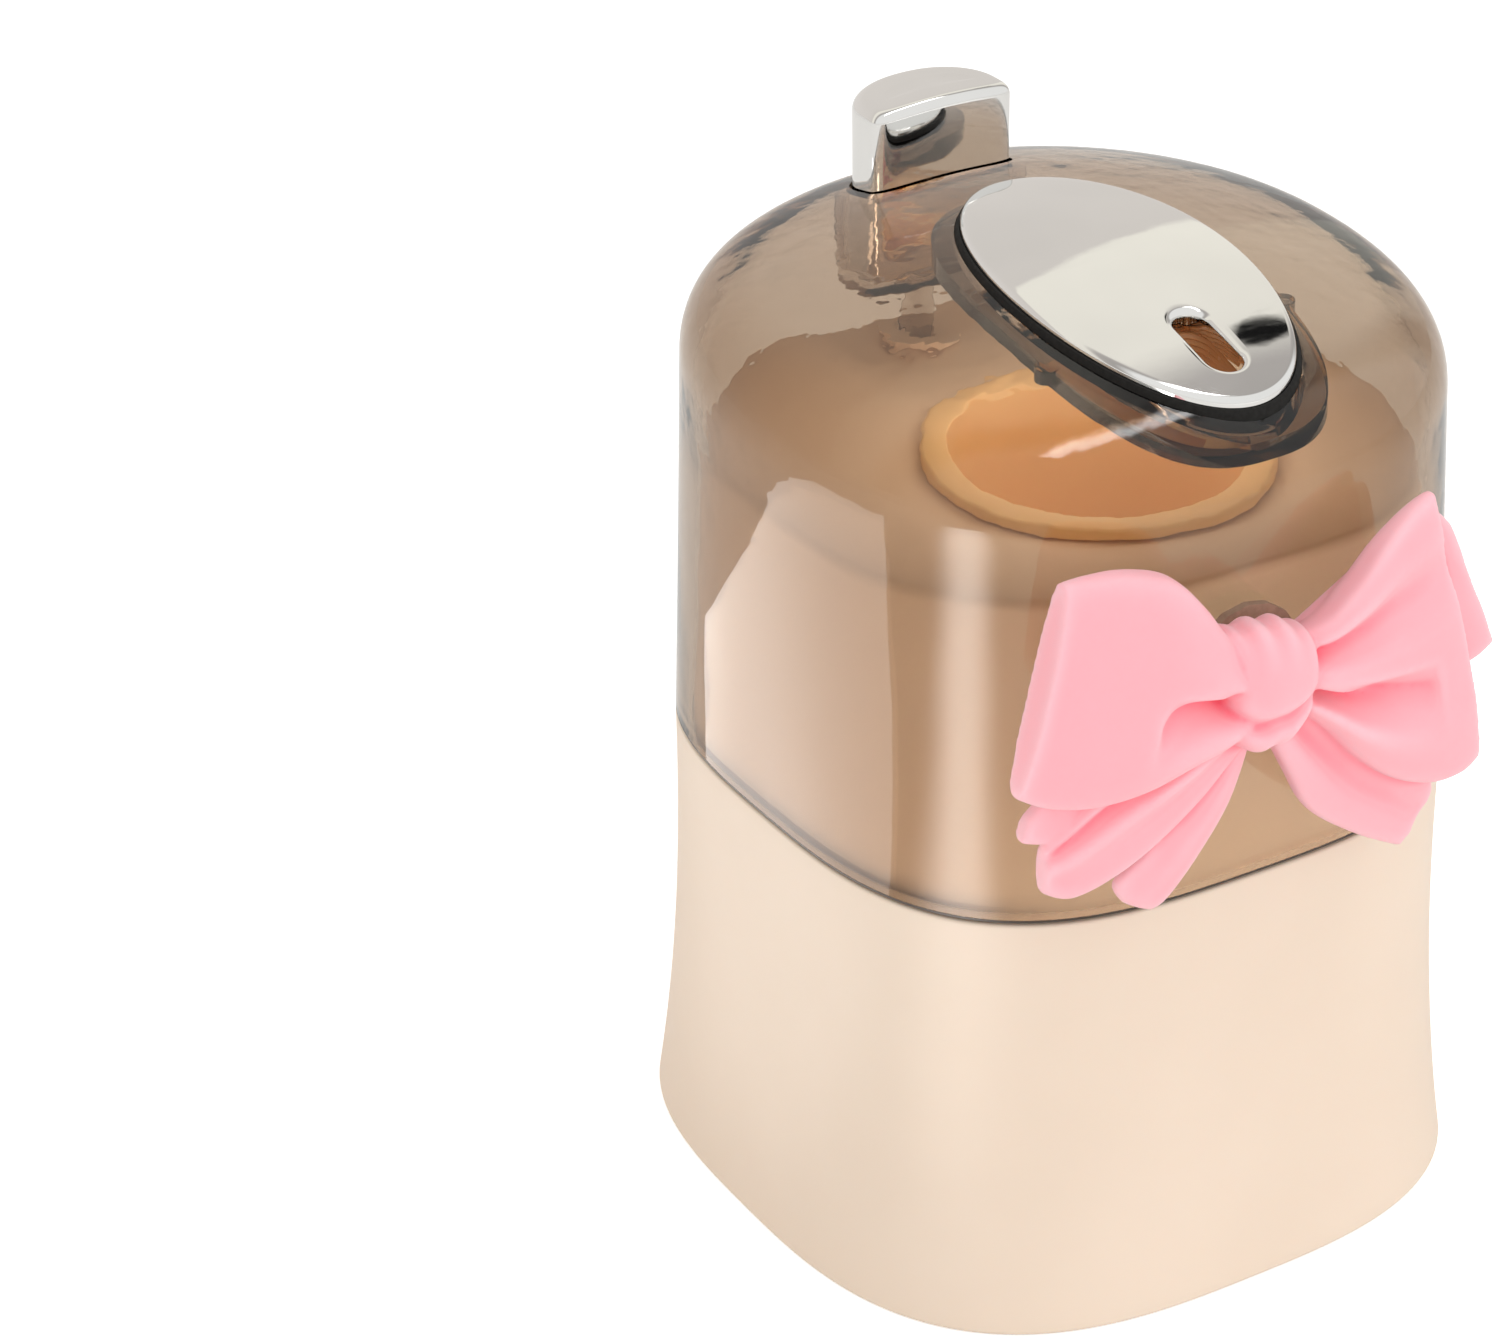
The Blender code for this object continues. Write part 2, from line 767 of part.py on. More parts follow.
def build_lifter(stem_material, cap_material, slide):
    """The stem on the rocker's front nose, and the dished cap that a pick stands in."""
    foot = lifter_foot()
    seat = lifter_top() - lifter_cap_height
    at = (0.0, lifter_y)
    origin = (0.0, lifter_y, foot)
    stem = (
        (lifter_foot_radius, foot),
        (lifter_foot_radius, foot + lifter_foot_height),
        (lifter_radius, foot + lifter_foot_height),
        (lifter_radius, seat - running_gap),
    )
    add_object("lifter_pin", turned(stem, at), stem_material, slide, origin)
    inner = lifter_cap_radius - lifter_cap_dish
    cap = (
        (lifter_cap_radius, seat),
        (lifter_cap_radius, lifter_top()),
        (inner, lifter_top()),
        (inner * lifter_cap_flat_share, lifter_top() - lifter_cap_dish),
    )
    add_object("lifter_cap", turned(cap, at), cap_material, slide, origin)


# Cover

def cover_foot():
    """Height of the cover's lower edge, just over the base shell."""
    return seam_height + running_gap


def cover_corner(angle, inset=0.0):
    """The crown's point in one direction, where the wall and the roof would meet unrounded."""
    distance = reach(angle, crown_half, crown_squareness) - inset
    x, y = distance * math.cos(angle), distance * math.sin(angle)
    return distance, dome(x, y) - inset


def cover_reach(angle, height, inset=0.0):
    """The cover wall's outside, drawn in by an inset, at a height below its shoulder."""
    low = reach(angle, seam_half, seam_squareness) - inset
    high, corner_height = cover_corner(angle, inset)
    share = (height - seam_height) / (corner_height - shoulder_round - seam_height)
    return low + (high - low) * min(max(share, 0.0), 1.0)


def shoulder_point(angle, share, inset):
    """A point of the round between wall and roof, as a curve through the corner's two sides."""
    corner, corner_height = cover_corner(angle, inset)
    on_roof = corner - shoulder_round
    x, y = on_roof * math.cos(angle), on_roof * math.sin(angle)
    roof_height = dome(x, y) - inset
    start, middle, end = (1 - share) ** 2, 2 * share * (1 - share), share ** 2
    distance = start * corner + middle * corner + end * on_roof
    height = start * (corner_height - shoulder_round) + middle * corner_height + end * roof_height
    return Vector((distance * math.cos(angle), distance * math.sin(angle), height))


def cover_rings(inset, first_height):
    """Rings up the wall, round the shoulder and in over the roof."""
    directions = angles(wall_facets)
    rings = [polar_ring(lambda a: cover_reach(a, first_height, inset), level(first_height))]
    for step in range(shoulder_steps + 1):
        share = step / shoulder_steps
        rings.append([shoulder_point(a, share, inset) for a in directions])
    for step in range(1, dome_steps + 1):
        shrink = 1 - step / (dome_steps + 0.5)
        ring = [Vector((point.x * shrink, point.y * shrink, 0.0)) for point in rings[shoulder_steps + 1]]
        for point in ring:
            point.z = dome(point.x, point.y) - inset
        rings.append(ring)
    return rings


def plate_ring(grow, height_of, drop=0.0):
    """A ring along the plate's oval, grown or shrunk, on the roof's curve."""
    ring = []
    for a in angles(outline_facets):
        x = (plate_half_width + grow) * math.cos(a)
        y = plate_centre_y + (plate_half_length + grow) * math.sin(a)
        ring.append(Vector((x, y, height_of(x, y) - drop)))
    return ring


def signed_power(value, power):
    """A power that keeps the sign."""
    return math.copysign(abs(value) ** power, value)


def skirt_ring(grow, drop):
    """A ring along the skirt's squarer oval, at a depth under the roof."""
    half_length = plate_half_length + (skirt_outset + skirt_front_reach)
    ring = []
    for a in angles(outline_facets):
        x = (plate_half_width + skirt_outset + grow) * signed_power(math.cos(a), 2 / skirt_squareness)
        y = plate_centre_y + (half_length + grow) * signed_power(math.sin(a), 2 / skirt_squareness)
        ring.append(Vector((x, y, dome(x, y) - drop)))
    return ring


def ledge_drop():
    """How far the skirt's ledge lies under the roof's face."""
    return plate_thickness + seal_thickness + 2 * running_gap - plate_lift


def button_ring(grow, height_of):
    """A ring along the button's outline: nearly flat in front, rounder behind."""
    ring = []
    for a in angles(outline_facets):
        behind = math.sin(a) >= 0
        squareness = button_back_squareness if behind else button_front_squareness
        depth = button_back_y - button_waist_y if behind else button_waist_y - button_flat_y
        x = (button_half_width + grow) * signed_power(math.cos(a), 2 / squareness)
        y = button_waist_y + (depth + grow) * signed_power(math.sin(a), 2 / squareness)
        ring.append(Vector((x, y, height_of(x, y))))
    return ring


def build_cover(material, body):
    """The smoky cover, with the plate's skirt and the button's sleeve under its roof."""
    cover = add_object("cover_shell", loft_solid(cover_rings(0.0, cover_foot())), material, body)
    inside = cover_rings(cover_wall, cover_foot())
    below = [Vector((point.x, point.y, point.z - cut_overrun)) for point in inside[0]]
    cut(cover, "inside", loft_solid([below] + inside))
    join(cover, "skirt", loft_solid([skirt_ring(0.0, skirt_depth), skirt_ring(0.0, roof_wall / 2)]))
    for name, side in (("left", -1), ("right", 1)):
        x = side * (plate_half_width + skirt_outset)
        top = dome(x, rib_y) - roof_wall / 2
        bottom = dome(x, rib_y) - skirt_depth + join_overlap
        join(cover, f"{name}_rib", turned(((rib_radius, bottom), (rib_radius, top)), (x, rib_y)))
    seat = [
        plate_ring(-2 * skirt_thickness, dome, ledge_drop()),
        plate_ring(plate_rim_gap, dome, ledge_drop()),
        plate_ring(plate_rim_gap, dome, -cut_overrun),
    ]
    cut(cover, "plate_seat", loft_solid(seat))
    ends = (skirt_depth + cut_overrun, -cut_overrun)
    cut(cover, "throat", loft_solid([skirt_ring(-skirt_thickness, end) for end in ends]))
    wide = running_gap + sleeve_wall
    sleeve = [
        button_ring(wide, level(button_bottom)),
        button_ring(wide, lambda x, y: dome(x, y) - roof_wall / 2),
    ]
    join(cover, "button_sleeve", loft_solid(sleeve))
    ends = (button_bottom - cut_overrun, button_top)
    cut(cover, "button_hole", loft_solid([button_ring(running_gap, level(end)) for end in ends]))
    return cover


def slot_ring(grow, height):
    """A level ring along the slot: straight sides and round ends."""
    half = slot_width / 2 + grow
    straight = (slot_length - slot_width) / 2
    ring = []
    for number, a in enumerate(angles(outline_facets)):
        on_side = number % (outline_facets // 2) == 0
        shift = 0.0 if on_side else math.copysign(straight, math.sin(a))
        ring.append(Vector((half * math.cos(a), slot_centre_y + shift + half * math.sin(a), height)))
    return ring


def build_plate(material, body):
    """The chrome oval plate on the roof's curve, with its slot."""
    inset = plate_edge_round
    under = plate_thickness - plate_lift

    def shrunk(shrink, drop):
        ring = plate_ring(-inset, dome)
        for point in ring:
            point.x *= shrink
            point.y = plate_centre_y + (point.y - plate_centre_y) * shrink
            point.z = dome(point.x, point.y) - drop
        return ring

    shrinks = [1 - step / (dome_steps + 0.5) for step in range(1, dome_steps + 1)]
    rings = [shrunk(shrink, under) for shrink in reversed(shrinks)]
    rings += [
        plate_ring(-inset, dome, under),
        plate_ring(0.0, dome, under - inset / 2),
        plate_ring(0.0, dome, inset - plate_lift),
        plate_ring(-inset / 3, dome, inset / 3 - plate_lift),
        plate_ring(-inset, dome, -plate_lift),
    ]
    rings += [shrunk(shrink, -plate_lift) for shrink in shrinks]
    plate = add_object("chrome_plate", loft_solid(rings), material, body)
    middle = dome(0.0, slot_centre_y)
    slot = [slot_ring(0.0, middle - cut_overrun), slot_ring(0.0, middle + cut_overrun)]
    cut(plate, "slot", loft_solid(slot))
    return plate


def build_seal(material, body):
    """The black seal between the plate and its ledge."""
    top = plate_thickness + running_gap - plate_lift
    bottom = top + seal_thickness
    grow = plate_rim_gap - running_gap
    rings = [plate_ring(grow, dome, top), plate_ring(grow, dome, bottom)]
    rings += [plate_ring(-seal_width, dome, bottom), plate_ring(-seal_width, dome, top)]
    return add_object("plate_seal", loft_tube(rings), material, body)


def build_guide(material, body):
    """The amber guide under the plate's slot, its flange above its throat."""

    def under_plate(x, y):
        return dome(x, y) + plate_lift - plate_thickness - running_gap

    def placed(grow, drop):
        ring = slot_ring(grow, 0.0)
        for point in ring:
            point.z = under_plate(point.x, point.y) - drop
        return ring

    slot_end = slot_centre_y - slot_length / 2
    seal_end = plate_centre_y - plate_half_length + seal_width
    flange = slot_end - seal_end - running_gap
    throat = guide_slot_ease + (flange - guide_slot_ease) * guide_throat_share
    outside = [placed(throat, guide_drop), placed(throat, guide_flange_height)]
    outside += [placed(flange, guide_flange_height), placed(flange, 0.0)]
    inside = [placed(guide_slot_ease, 0.0), placed(guide_slot_ease, guide_flange_height)]
    inside += [placed(throat / 2, guide_drop)]
    return add_object("pick_guide", loft_tube(outside + inside), material, body)


def build_button(cap_material, retainer_material, press):
    """The hollow chrome cap and the retainer plugged into it from below."""
    origin = (0.0, button_waist_y, button_bottom)
    side_top = button_top - button_crown - button_round

    def crowned(x, y):
        return button_top - button_crown * (x / button_half_width) ** 2

    rings = [button_ring(0.0, level(button_bottom)), button_ring(0.0, level(side_top))]
    for turn in edge_turns():
        inset = button_round * (1 - math.cos(turn))
        rise = button_round * (1 - math.sin(turn))
        rings.append(button_ring(-inset, lambda x, y: crowned(x, y) - rise))
    for share in button_crown_shares:
        shrink = button_round + share * (button_waist_y - button_flat_y - button_round)
        rings.append(button_ring(-shrink, crowned))
    cap = add_object("button_cap", loft_solid(rings), cap_material, press, origin)
    ends = (button_bottom - cut_overrun, button_top - button_roof_wall - button_crown)
    cut(cap, "inside", loft_solid([button_ring(-button_wall, level(end)) for end in ends]))
    flange_top = button_bottom - running_gap
    flange_bottom = flange_top - retainer_flange_height
    neck = -button_wall - running_gap
    profile = (
        (retainer_flange_reach, flange_bottom),
        (retainer_flange_reach, flange_top),
        (neck, flange_top),
        (neck, flange_top + retainer_neck_height),
    )
    rings = [button_ring(grow, level(height)) for grow, height in profile]
    add_object("button_retainer", loft_solid(rings), retainer_material, press, origin)


# Bow: each lobe is a run of rounded sections between a lower and an upper edge. The shares are
# of the bow's half width, half height and depth, measured from the knot and the bow's back.

left_loop_shares = (
    (-0.10, -0.14, -0.14, 0.24, 0.25, 0.85),
    (-0.24, -0.21, -0.24, 0.34, 0.20, 0.95),
    (-0.40, -0.27, -0.36, 0.55, 0.15, 1.05),
    (-0.60, -0.33, -0.51, 0.71, 0.15, 1.00),
    (-0.82, -0.28, -0.68, 0.78, 0.18, 0.85),
    (-0.97, -0.17, -0.84, 0.76, 0.25, 0.65),
)
right_loop_shares = (
    (0.08, -0.14, 0.10, 0.24, 0.25, 0.85),
    (0.22, -0.32, 0.22, 0.24, 0.20, 0.95),
    (0.36, -0.52, 0.34, 0.34, 0.15, 1.00),
    (0.56, -0.73, 0.46, 0.50, 0.15, 0.95),
    (0.80, -0.86, 0.56, 0.62, 0.18, 0.80),
    (0.92, -0.79, 0.64, 0.66, 0.25, 0.60),
)
left_tail_shares = (
    (-0.06, -0.20, -0.16, -0.10, 0.15, 0.55),
    (-0.26, -0.46, -0.40, -0.22, 0.10, 0.52),
    (-0.52, -0.70, -0.66, -0.26, 0.08, 0.48),
    (-0.78, -0.79, -0.92, -0.36, 0.06, 0.42),
)
left_under_tail_shares = (
    (-0.02, -0.24, -0.10, -0.14, 0.05, 0.35),
    (-0.12, -0.60, -0.26, -0.46, 0.04, 0.36),
    (-0.24, -0.86, -0.42, -0.70, 0.04, 0.32),
    (-0.34, -1.02, -0.53, -0.86, 0.04, 0.26),
)
right_tail_shares = (
    (0.02, -0.22, 0.14, -0.10, 0.15, 0.55),
    (0.16, -0.45, 0.34, -0.35, 0.10, 0.50),
    (0.26, -0.70, 0.56, -0.60, 0.08, 0.48),
    (0.46, -0.96, 0.74, -0.80, 0.06, 0.42),
    (0.63, -1.14, 0.79, -0.92, 0.05, 0.35),
)
back_tip_shares = (
    (0.10, -0.06, 0.10, 0.14, 0.06, 0.32),
    (0.50, -0.20, 0.40, 0.34, 0.04, 0.30),
    (0.88, -0.32, 0.70, 0.42, 0.04, 0.28),
    (1.03, -0.31, 0.80, 0.32, 0.06, 0.22),
)
knot_shares = (
    (-0.20, -0.14, -0.22, 0.28, 0.10, 1.00),
    (-0.13, -0.23, -0.14, 0.34, 0.05, 1.20),
    (-0.02, -0.26, -0.02, 0.35, 0.05, 1.28),
    (0.10, -0.22, 0.10, 0.31, 0.05, 1.20),
    (0.18, -0.14, 0.18, 0.22, 0.10, 1.00),
)
ring_corner_power = 0.55
bow_ring_facets = 14


def bow_back():
    """The bow's back face, just in front of the pad on the cover's front wall."""
    front = cover_reach(-math.pi / 2, bow_centre_height + bow_half_height)
    return -(front + running_gap + pad_thickness + running_gap)


def bow_lobe(shares):
    """A lobe of the bow, lofted through its sections."""
    rings = []
    for low_u, low_v, high_u, high_v, back, front in shares:
        low = Vector((low_u * bow_half_width, low_v * bow_half_height))
        high = Vector((high_u * bow_half_width, high_v * bow_half_height))
        centre, half = (low + high) / 2, (high - low) / 2
        middle = bow_back() - (back + front) / 2 * bow_depth
        thick = (front - back) / 2 * bow_depth
        ring = []
        for a in angles(bow_ring_facets):
            along = signed_power(math.cos(a), ring_corner_power)
            out = signed_power(math.sin(a), ring_corner_power)
            x = bow_centre_x + centre.x + half.x * along
            z = bow_centre_height + centre.y + half.y * along
            ring.append(Vector((x, middle - thick * out, z)))
        rings.append(ring)
    return loft_solid(rings)


def build_bow(material, body):
    """The bow, moulded in one piece."""
    bow = add_object("bow", bow_lobe(knot_shares), material, body)
    lobes = (
        ("left_loop", left_loop_shares),
        ("right_loop", right_loop_shares),
        ("left_tail", left_tail_shares),
        ("left_under_tail", left_under_tail_shares),
        ("right_tail", right_tail_shares),
        ("back_tip", back_tip_shares),
    )
    for name, shares in lobes:
        join(bow, name, bow_lobe(shares))
    return bow


def build_pad(material, body):
    """The round glue pad between the bow's knot and the cover."""
    bm = turned(((pad_radius, 0.0), (pad_radius, pad_thickness)), (0.0, 0.0))
    bmesh.ops.rotate(bm, matrix=Matrix.Rotation(math.radians(90), 3, "X"), verts=bm.verts)
    place = (bow_centre_x, bow_back() + running_gap + pad_thickness, bow_centre_height)
    bmesh.ops.translate(bm, vec=place, verts=bm.verts)
    return add_object("bow_pad", bm, material, body)


def main():
    """Build the dispenser."""
    clear_scene()
    cream = finish(*CREAM_PLASTIC)
    smoke = finish(*SMOKY_PLASTIC)
    chrome = finish(*CHROME)
    amber = finish(*AMBER_PLASTIC)
    steel = finish(*STEEL)
    white = finish(*WHITE_PLASTIC)

    build_base_shell(cream)
    build_bottom_plate(cream)
    for number, place in enumerate(screw_places()):
        build_screw(f"bottom_screw_{number + 1}", place, bottom_screw_length, steel)
    for number, place in enumerate(frame_screw_places()):
        build_screw(f"frame_screw_{number + 1}", place, frame_screw_length, steel)
    build_hopper(cream)
    build_cup(amber)
    build_ramp(white)

    build_frame(white)
    pin_half = lever_width / 2 + running_gap + cheek_thickness + running_gap
    add_object("pivot_pin", cross_pin(pivot_pin_radius, pin_half, pivot_y, pivot_height), steel)
    build_bush(white)
    washer_foot = shelf_top + running_gap
    washer(
        "spring_washer", rod_radius + running_gap, washer_radius,
        washer_foot, washer_foot + washer_height, (0.0, rod_y), steel,
    )

    pivot = empty("lever_axis", (0.0, pivot_y, pivot_height))
    rod = empty("rod_axis", (0.0, rod_y, rod_foot()))
    lifter = empty("lifter_axis", (0.0, lifter_y, lifter_foot()))
    lift_off = empty("cover_axis", (0.0, 0.0, cover_foot()))
    press = empty("button_axis", (0.0, button_waist_y, button_bottom), lift_off)

    build_lever(white, pivot)
    build_rod(smoke, rod)
    build_collar(white, rod)
    build_spring(steel, rod)
    build_lifter(white, white, lifter)

    build_cover(smoke, lift_off)
    build_plate(chrome, lift_off)
    build_seal(finish(*BLACK_RUBBER), lift_off)
    build_guide(amber, lift_off)
    build_button(chrome, smoke, press)
    build_bow(finish(*PINK_SILICONE), lift_off)
    build_pad(finish(*PAD_FOAM), lift_off)


main()
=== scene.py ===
"""Dressed model of a push-button toothpick dispenser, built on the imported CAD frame.

Metres, +Z up, the origin at the middle of the underside. The bow faces -Y and the button is at +Y.
"""

import logging
import math
from dataclasses import dataclass, field
from enum import Enum
from typing import Callable, Iterable, Sequence

import bmesh
import bpy
from mathutils import Matrix, Vector


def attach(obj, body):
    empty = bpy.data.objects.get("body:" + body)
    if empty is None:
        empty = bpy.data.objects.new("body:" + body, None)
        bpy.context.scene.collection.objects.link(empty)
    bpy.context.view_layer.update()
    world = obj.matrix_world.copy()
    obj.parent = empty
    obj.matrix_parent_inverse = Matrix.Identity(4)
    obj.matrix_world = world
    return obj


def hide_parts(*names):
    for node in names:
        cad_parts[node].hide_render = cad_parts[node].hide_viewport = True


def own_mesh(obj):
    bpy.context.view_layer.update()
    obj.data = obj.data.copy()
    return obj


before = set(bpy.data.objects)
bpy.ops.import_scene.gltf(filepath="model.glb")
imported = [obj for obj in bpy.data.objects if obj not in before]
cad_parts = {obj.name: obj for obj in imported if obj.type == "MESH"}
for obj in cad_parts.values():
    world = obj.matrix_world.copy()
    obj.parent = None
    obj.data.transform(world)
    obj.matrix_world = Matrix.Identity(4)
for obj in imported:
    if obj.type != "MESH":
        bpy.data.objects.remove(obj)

log = logging.getLogger("dispenser")
Colour = tuple[float, float, float]
Place = Callable[[float], Vector]
Height = Callable[[float, float], float]


class Body(Enum):
    """The bodies that pieces ride on."""

    BASE = "base"
    COVER = "cover"
    BUTTON = "button"
    PUSH_ROD = "push_rod"
    LEVER = "lever"
    LIFTER = "lifter"


class Slot(Enum):
    """The record's material slots."""

    CREAM = "cream_plastic"
    SMOKY = "smoky_plastic"
    CHROME = "chrome"
    AMBER = "amber_plastic"
    WHITE = "white_plastic"
    STEEL = "steel"
    RUBBER = "black_rubber"
    PINK = "pink_silicone"
    FOAM = "pad_foam"


class Joining(Enum):
    """What a Boolean does with its helper."""

    CUT = "DIFFERENCE"
    ADD = "UNION"


def linear(red: int, green: int, blue: int) -> Colour:
    """A colour given in screen values, as the linear values that shaders take.

    Args:
        red: Red from 0 to 255.
        green: Green from 0 to 255.
        blue: Blue from 0 to 255.

    Returns:
        The three linear values.
    """
    def one(value: int) -> float:
        """One channel's linear value."""
        share = value / 255
        return share / 12.92 if share <= 0.04045 else ((share + 0.055) / 1.055) ** 2.4

    return one(red), one(green), one(blue)


class Tree:
    """A material's node tree, with short calls for the nodes that the finishes share."""

    def __init__(self, name: str) -> None:
        """Start a material with an empty tree.

        Args:
            name: The material's name.
        """
        self.material = bpy.data.materials.new(name)
        self.material.use_nodes = True
        self.nodes = self.material.node_tree.nodes
        self.links = self.material.node_tree.links
        self.nodes.clear()
        self.output = self.nodes.new("ShaderNodeOutputMaterial")
        self.place = self.nodes.new("ShaderNodeTexCoord").outputs["Object"]

    def noise(self, size: float, detail: float = 3.0, roughness: float = 0.5,
              stretch: Sequence[float] = (1.0, 1.0, 1.0)) -> bpy.types.NodeSocket:
        """Noise whose features are about as large as a given length.

        Args:
            size: The features' size in metres.
            detail: How many finer layers it has.
            roughness: How strong the finer layers are.
            stretch: How many times longer the features are along each axis.

        Returns:
            The noise's value socket.
        """
        mapping = self.nodes.new("ShaderNodeMapping")
        mapping.inputs["Scale"].default_value = [1.0 / (size * each) for each in stretch]
        self.links.new(self.place, mapping.inputs["Vector"])
        texture = self.nodes.new("ShaderNodeTexNoise")
        texture.inputs["Scale"].default_value = 1.0
        texture.inputs["Detail"].default_value = detail
        texture.inputs["Roughness"].default_value = roughness
        self.links.new(mapping.outputs["Vector"], texture.inputs["Vector"])
        return texture.outputs["Fac"]

    def specks(self, size: float, radius: float) -> bpy.types.NodeSocket:
        """Sparse round specks: 1 on a speck and 0 elsewhere.

        Args:
            size: The mean distance between specks in metres.
            radius: A speck's radius as a share of that distance.

        Returns:
            The specks' value socket.
        """
        cells = self.nodes.new("ShaderNodeTexVoronoi")
        cells.inputs["Scale"].default_value = 1.0 / size
        self.links.new(self.place, cells.inputs["Vector"])
        return self.ranged(cells.outputs["Distance"], radius, radius * 0.6, 0.0, 1.0)

    def ranged(self, value: bpy.types.NodeSocket, low: float, high: float,
               to_low: float, to_high: float) -> bpy.types.NodeSocket:
        """A value moved from one range to another.

        Args:
            value: The socket to read.
            low: The start of the range it has.
            high: The end of the range it has.
            to_low: The start of the range it gets.
            to_high: The end of the range it gets.

        Returns:
            The new value's socket.
        """
        node = self.nodes.new("ShaderNodeMapRange")
        for name, number in (("From Min", low), ("From Max", high), ("To Min", to_low), ("To Max", to_high)):
            node.inputs[name].default_value = number
        self.links.new(value, node.inputs["Value"])
        return node.outputs["Result"]

    def between(self, share: bpy.types.NodeSocket, first: Colour | bpy.types.NodeSocket,
                second: Colour) -> bpy.types.NodeSocket:
        """A mix of two colours.

        Args:
            share: How much of the second colour shows.
            first: The first colour, or a socket that gives it.
            second: The second colour.

        Returns:
            The mixed colour's socket.
        """
        node = self.nodes.new("ShaderNodeMix")
        node.data_type = "RGBA"
        self.links.new(share, node.inputs["Factor"])
        if isinstance(first, bpy.types.NodeSocket):
            self.links.new(first, node.inputs[6])
        else:
            node.inputs[6].default_value = (*first, 1.0)
        node.inputs[7].default_value = (*second, 1.0)
        return node.outputs[2]

    def relief(self, value: bpy.types.NodeSocket, depth: float,
               under: bpy.types.NodeSocket | None = None) -> bpy.types.NodeSocket:
        """A bump from a value, on top of another if one is given.

        Args:
            value: The height's socket.
            depth: The height in metres that a change from 0 to 1 stands for.
            under: The normal of the bump below.

        Returns:
            The normal's socket.
        """
        node = self.nodes.new("ShaderNodeBump")
        node.inputs["Distance"].default_value = depth
        self.links.new(value, node.inputs["Height"])
        if under is not None:
            self.links.new(under, node.inputs["Normal"])
        return node.outputs["Normal"]

    def principled(self, **values: float | Colour) -> bpy.types.Node:
        """A Principled shader with values set on its own sockets.

        Args:
            **values: Socket names, with _ for a space, and their values.

        Returns:
            The shader's node.
        """
        shader = self.nodes.new("ShaderNodeBsdfPrincipled")
        for name, value in values.items():
            if isinstance(value, tuple) and name.endswith(("Color", "Tint")):
                value = (*value, 1.0)
            shader.inputs[name.replace("_", " ")].default_value = value
        return shader

    def show(self, shader: bpy.types.Node) -> bpy.types.Material:
        """Join a shader to the output.

        Args:
            shader: The shader's node.

        Returns:
            The finished material.
        """
        self.links.new(shader.outputs[0], self.output.inputs["Surface"])
        return self.material


@dataclass(frozen=True)
class MouldedPlastic:
    """Opaque moulded plastic: a clean colour that drifts a little, satin, with a very fine grain."""

    name: str
    colour: Colour
    drift: Colour
    roughness: float = 0.40
    subsurface: float = 0.0
    depth: float = 0.002
    coat: float = 0.0

    def material(self) -> bpy.types.Material:
        """The finish as a node material."""
        tree = Tree(self.name)
        shader = tree.principled(
            IOR=1.46, Subsurface_Weight=self.subsurface, Subsurface_Scale=self.depth,
            Coat_Weight=self.coat, Coat_Roughness=0.12,
        )
        shader.inputs["Subsurface Radius"].default_value = (1.0, 0.62, 0.40)
        cloud = tree.ranged(tree.noise(0.022, 2.0), 0.35, 0.65, 0.0, 1.0)
        colour = tree.between(cloud, self.colour, self.drift)
        speck = tree.specks(0.019, 0.012)
        tree.links.new(tree.between(speck, colour, tuple(0.7 * part for part in self.drift)), shader.inputs["Base Color"])
        rough = tree.ranged(tree.noise(0.0018, 4.0), 0.3, 0.7, self.roughness - 0.02, self.roughness + 0.03)
        tree.links.new(rough, shader.inputs["Roughness"])
        grain = tree.relief(tree.noise(0.00045, 2.0), 0.000001)
        tree.links.new(tree.relief(tree.noise(0.012, 1.0), 0.00006, grain), shader.inputs["Normal"])
        return tree.show(shader)


@dataclass(frozen=True)
class ClearPlastic:
    """See-through tinted plastic: glossy, with slow waves from the mould, hairlines and dust."""

    name: str
    through: Colour
    wall: float
    roughness: float = 0.02
    waves: float = 0.00010
    ior: float = 1.49
    mottle: float = 0.0

    def material(self) -> bpy.types.Material:
        """The finish as a node material that lets lamps through and darkens with its depth."""
        tree = Tree(self.name)
        shader = tree.principled(IOR=self.ior, Transmission_Weight=1.0)
        dust = tree.specks(0.0065, 0.020)
        tree.links.new(tree.between(dust, (0.985, 0.98, 0.975), (0.55, 0.50, 0.45)), shader.inputs["Base Color"])
        hairs = tree.noise(0.0010, 3.0, 0.6, (1.0, 1.0, 14.0))
        tree.links.new(tree.ranged(hairs, 0.62, 0.80, self.roughness, self.roughness + 0.02), shader.inputs["Roughness"])
        relief = tree.relief(tree.noise(0.011, 1.5, 0.4, (1.0, 1.0, 1.6)), self.waves)
        if self.mottle:
            high = tree.nodes.new("ShaderNodeSeparateXYZ")
            tree.links.new(tree.place, high.inputs["Vector"])
            fade = tree.ranged(high.outputs["Z"], 0.078, 0.090, 0.0, 1.0)
            ripple = tree.nodes.new("ShaderNodeMath")
            ripple.operation = "MULTIPLY"
            tree.links.new(tree.noise(0.0062, 2.5, 0.55), ripple.inputs[0])
            tree.links.new(fade, ripple.inputs[1])
            relief = tree.relief(ripple.outputs["Value"], self.mottle, relief)
        tree.links.new(relief, shader.inputs["Normal"])
        passing = tree.nodes.new("ShaderNodeBsdfTransparent")
        passing.inputs["Color"].default_value = (0.97, 0.97, 0.97, 1.0)
        path = tree.nodes.new("ShaderNodeLightPath")
        mix = tree.nodes.new("ShaderNodeMixShader")
        tree.links.new(path.outputs["Is Shadow Ray"], mix.inputs[0])
        tree.links.new(shader.outputs[0], mix.inputs[1])
        tree.links.new(passing.outputs[0], mix.inputs[2])
        taken = [-math.log(share) / self.wall for share in self.through]
        depth = tree.nodes.new("ShaderNodeVolumeAbsorption")
        depth.inputs["Density"].default_value = 1.02 * max(taken)
        depth.inputs["Color"].default_value = (*(1 - each / (1.02 * max(taken)) for each in taken), 1.0)
        tree.links.new(depth.outputs[0], tree.output.inputs["Volume"])
        return tree.show(mix)


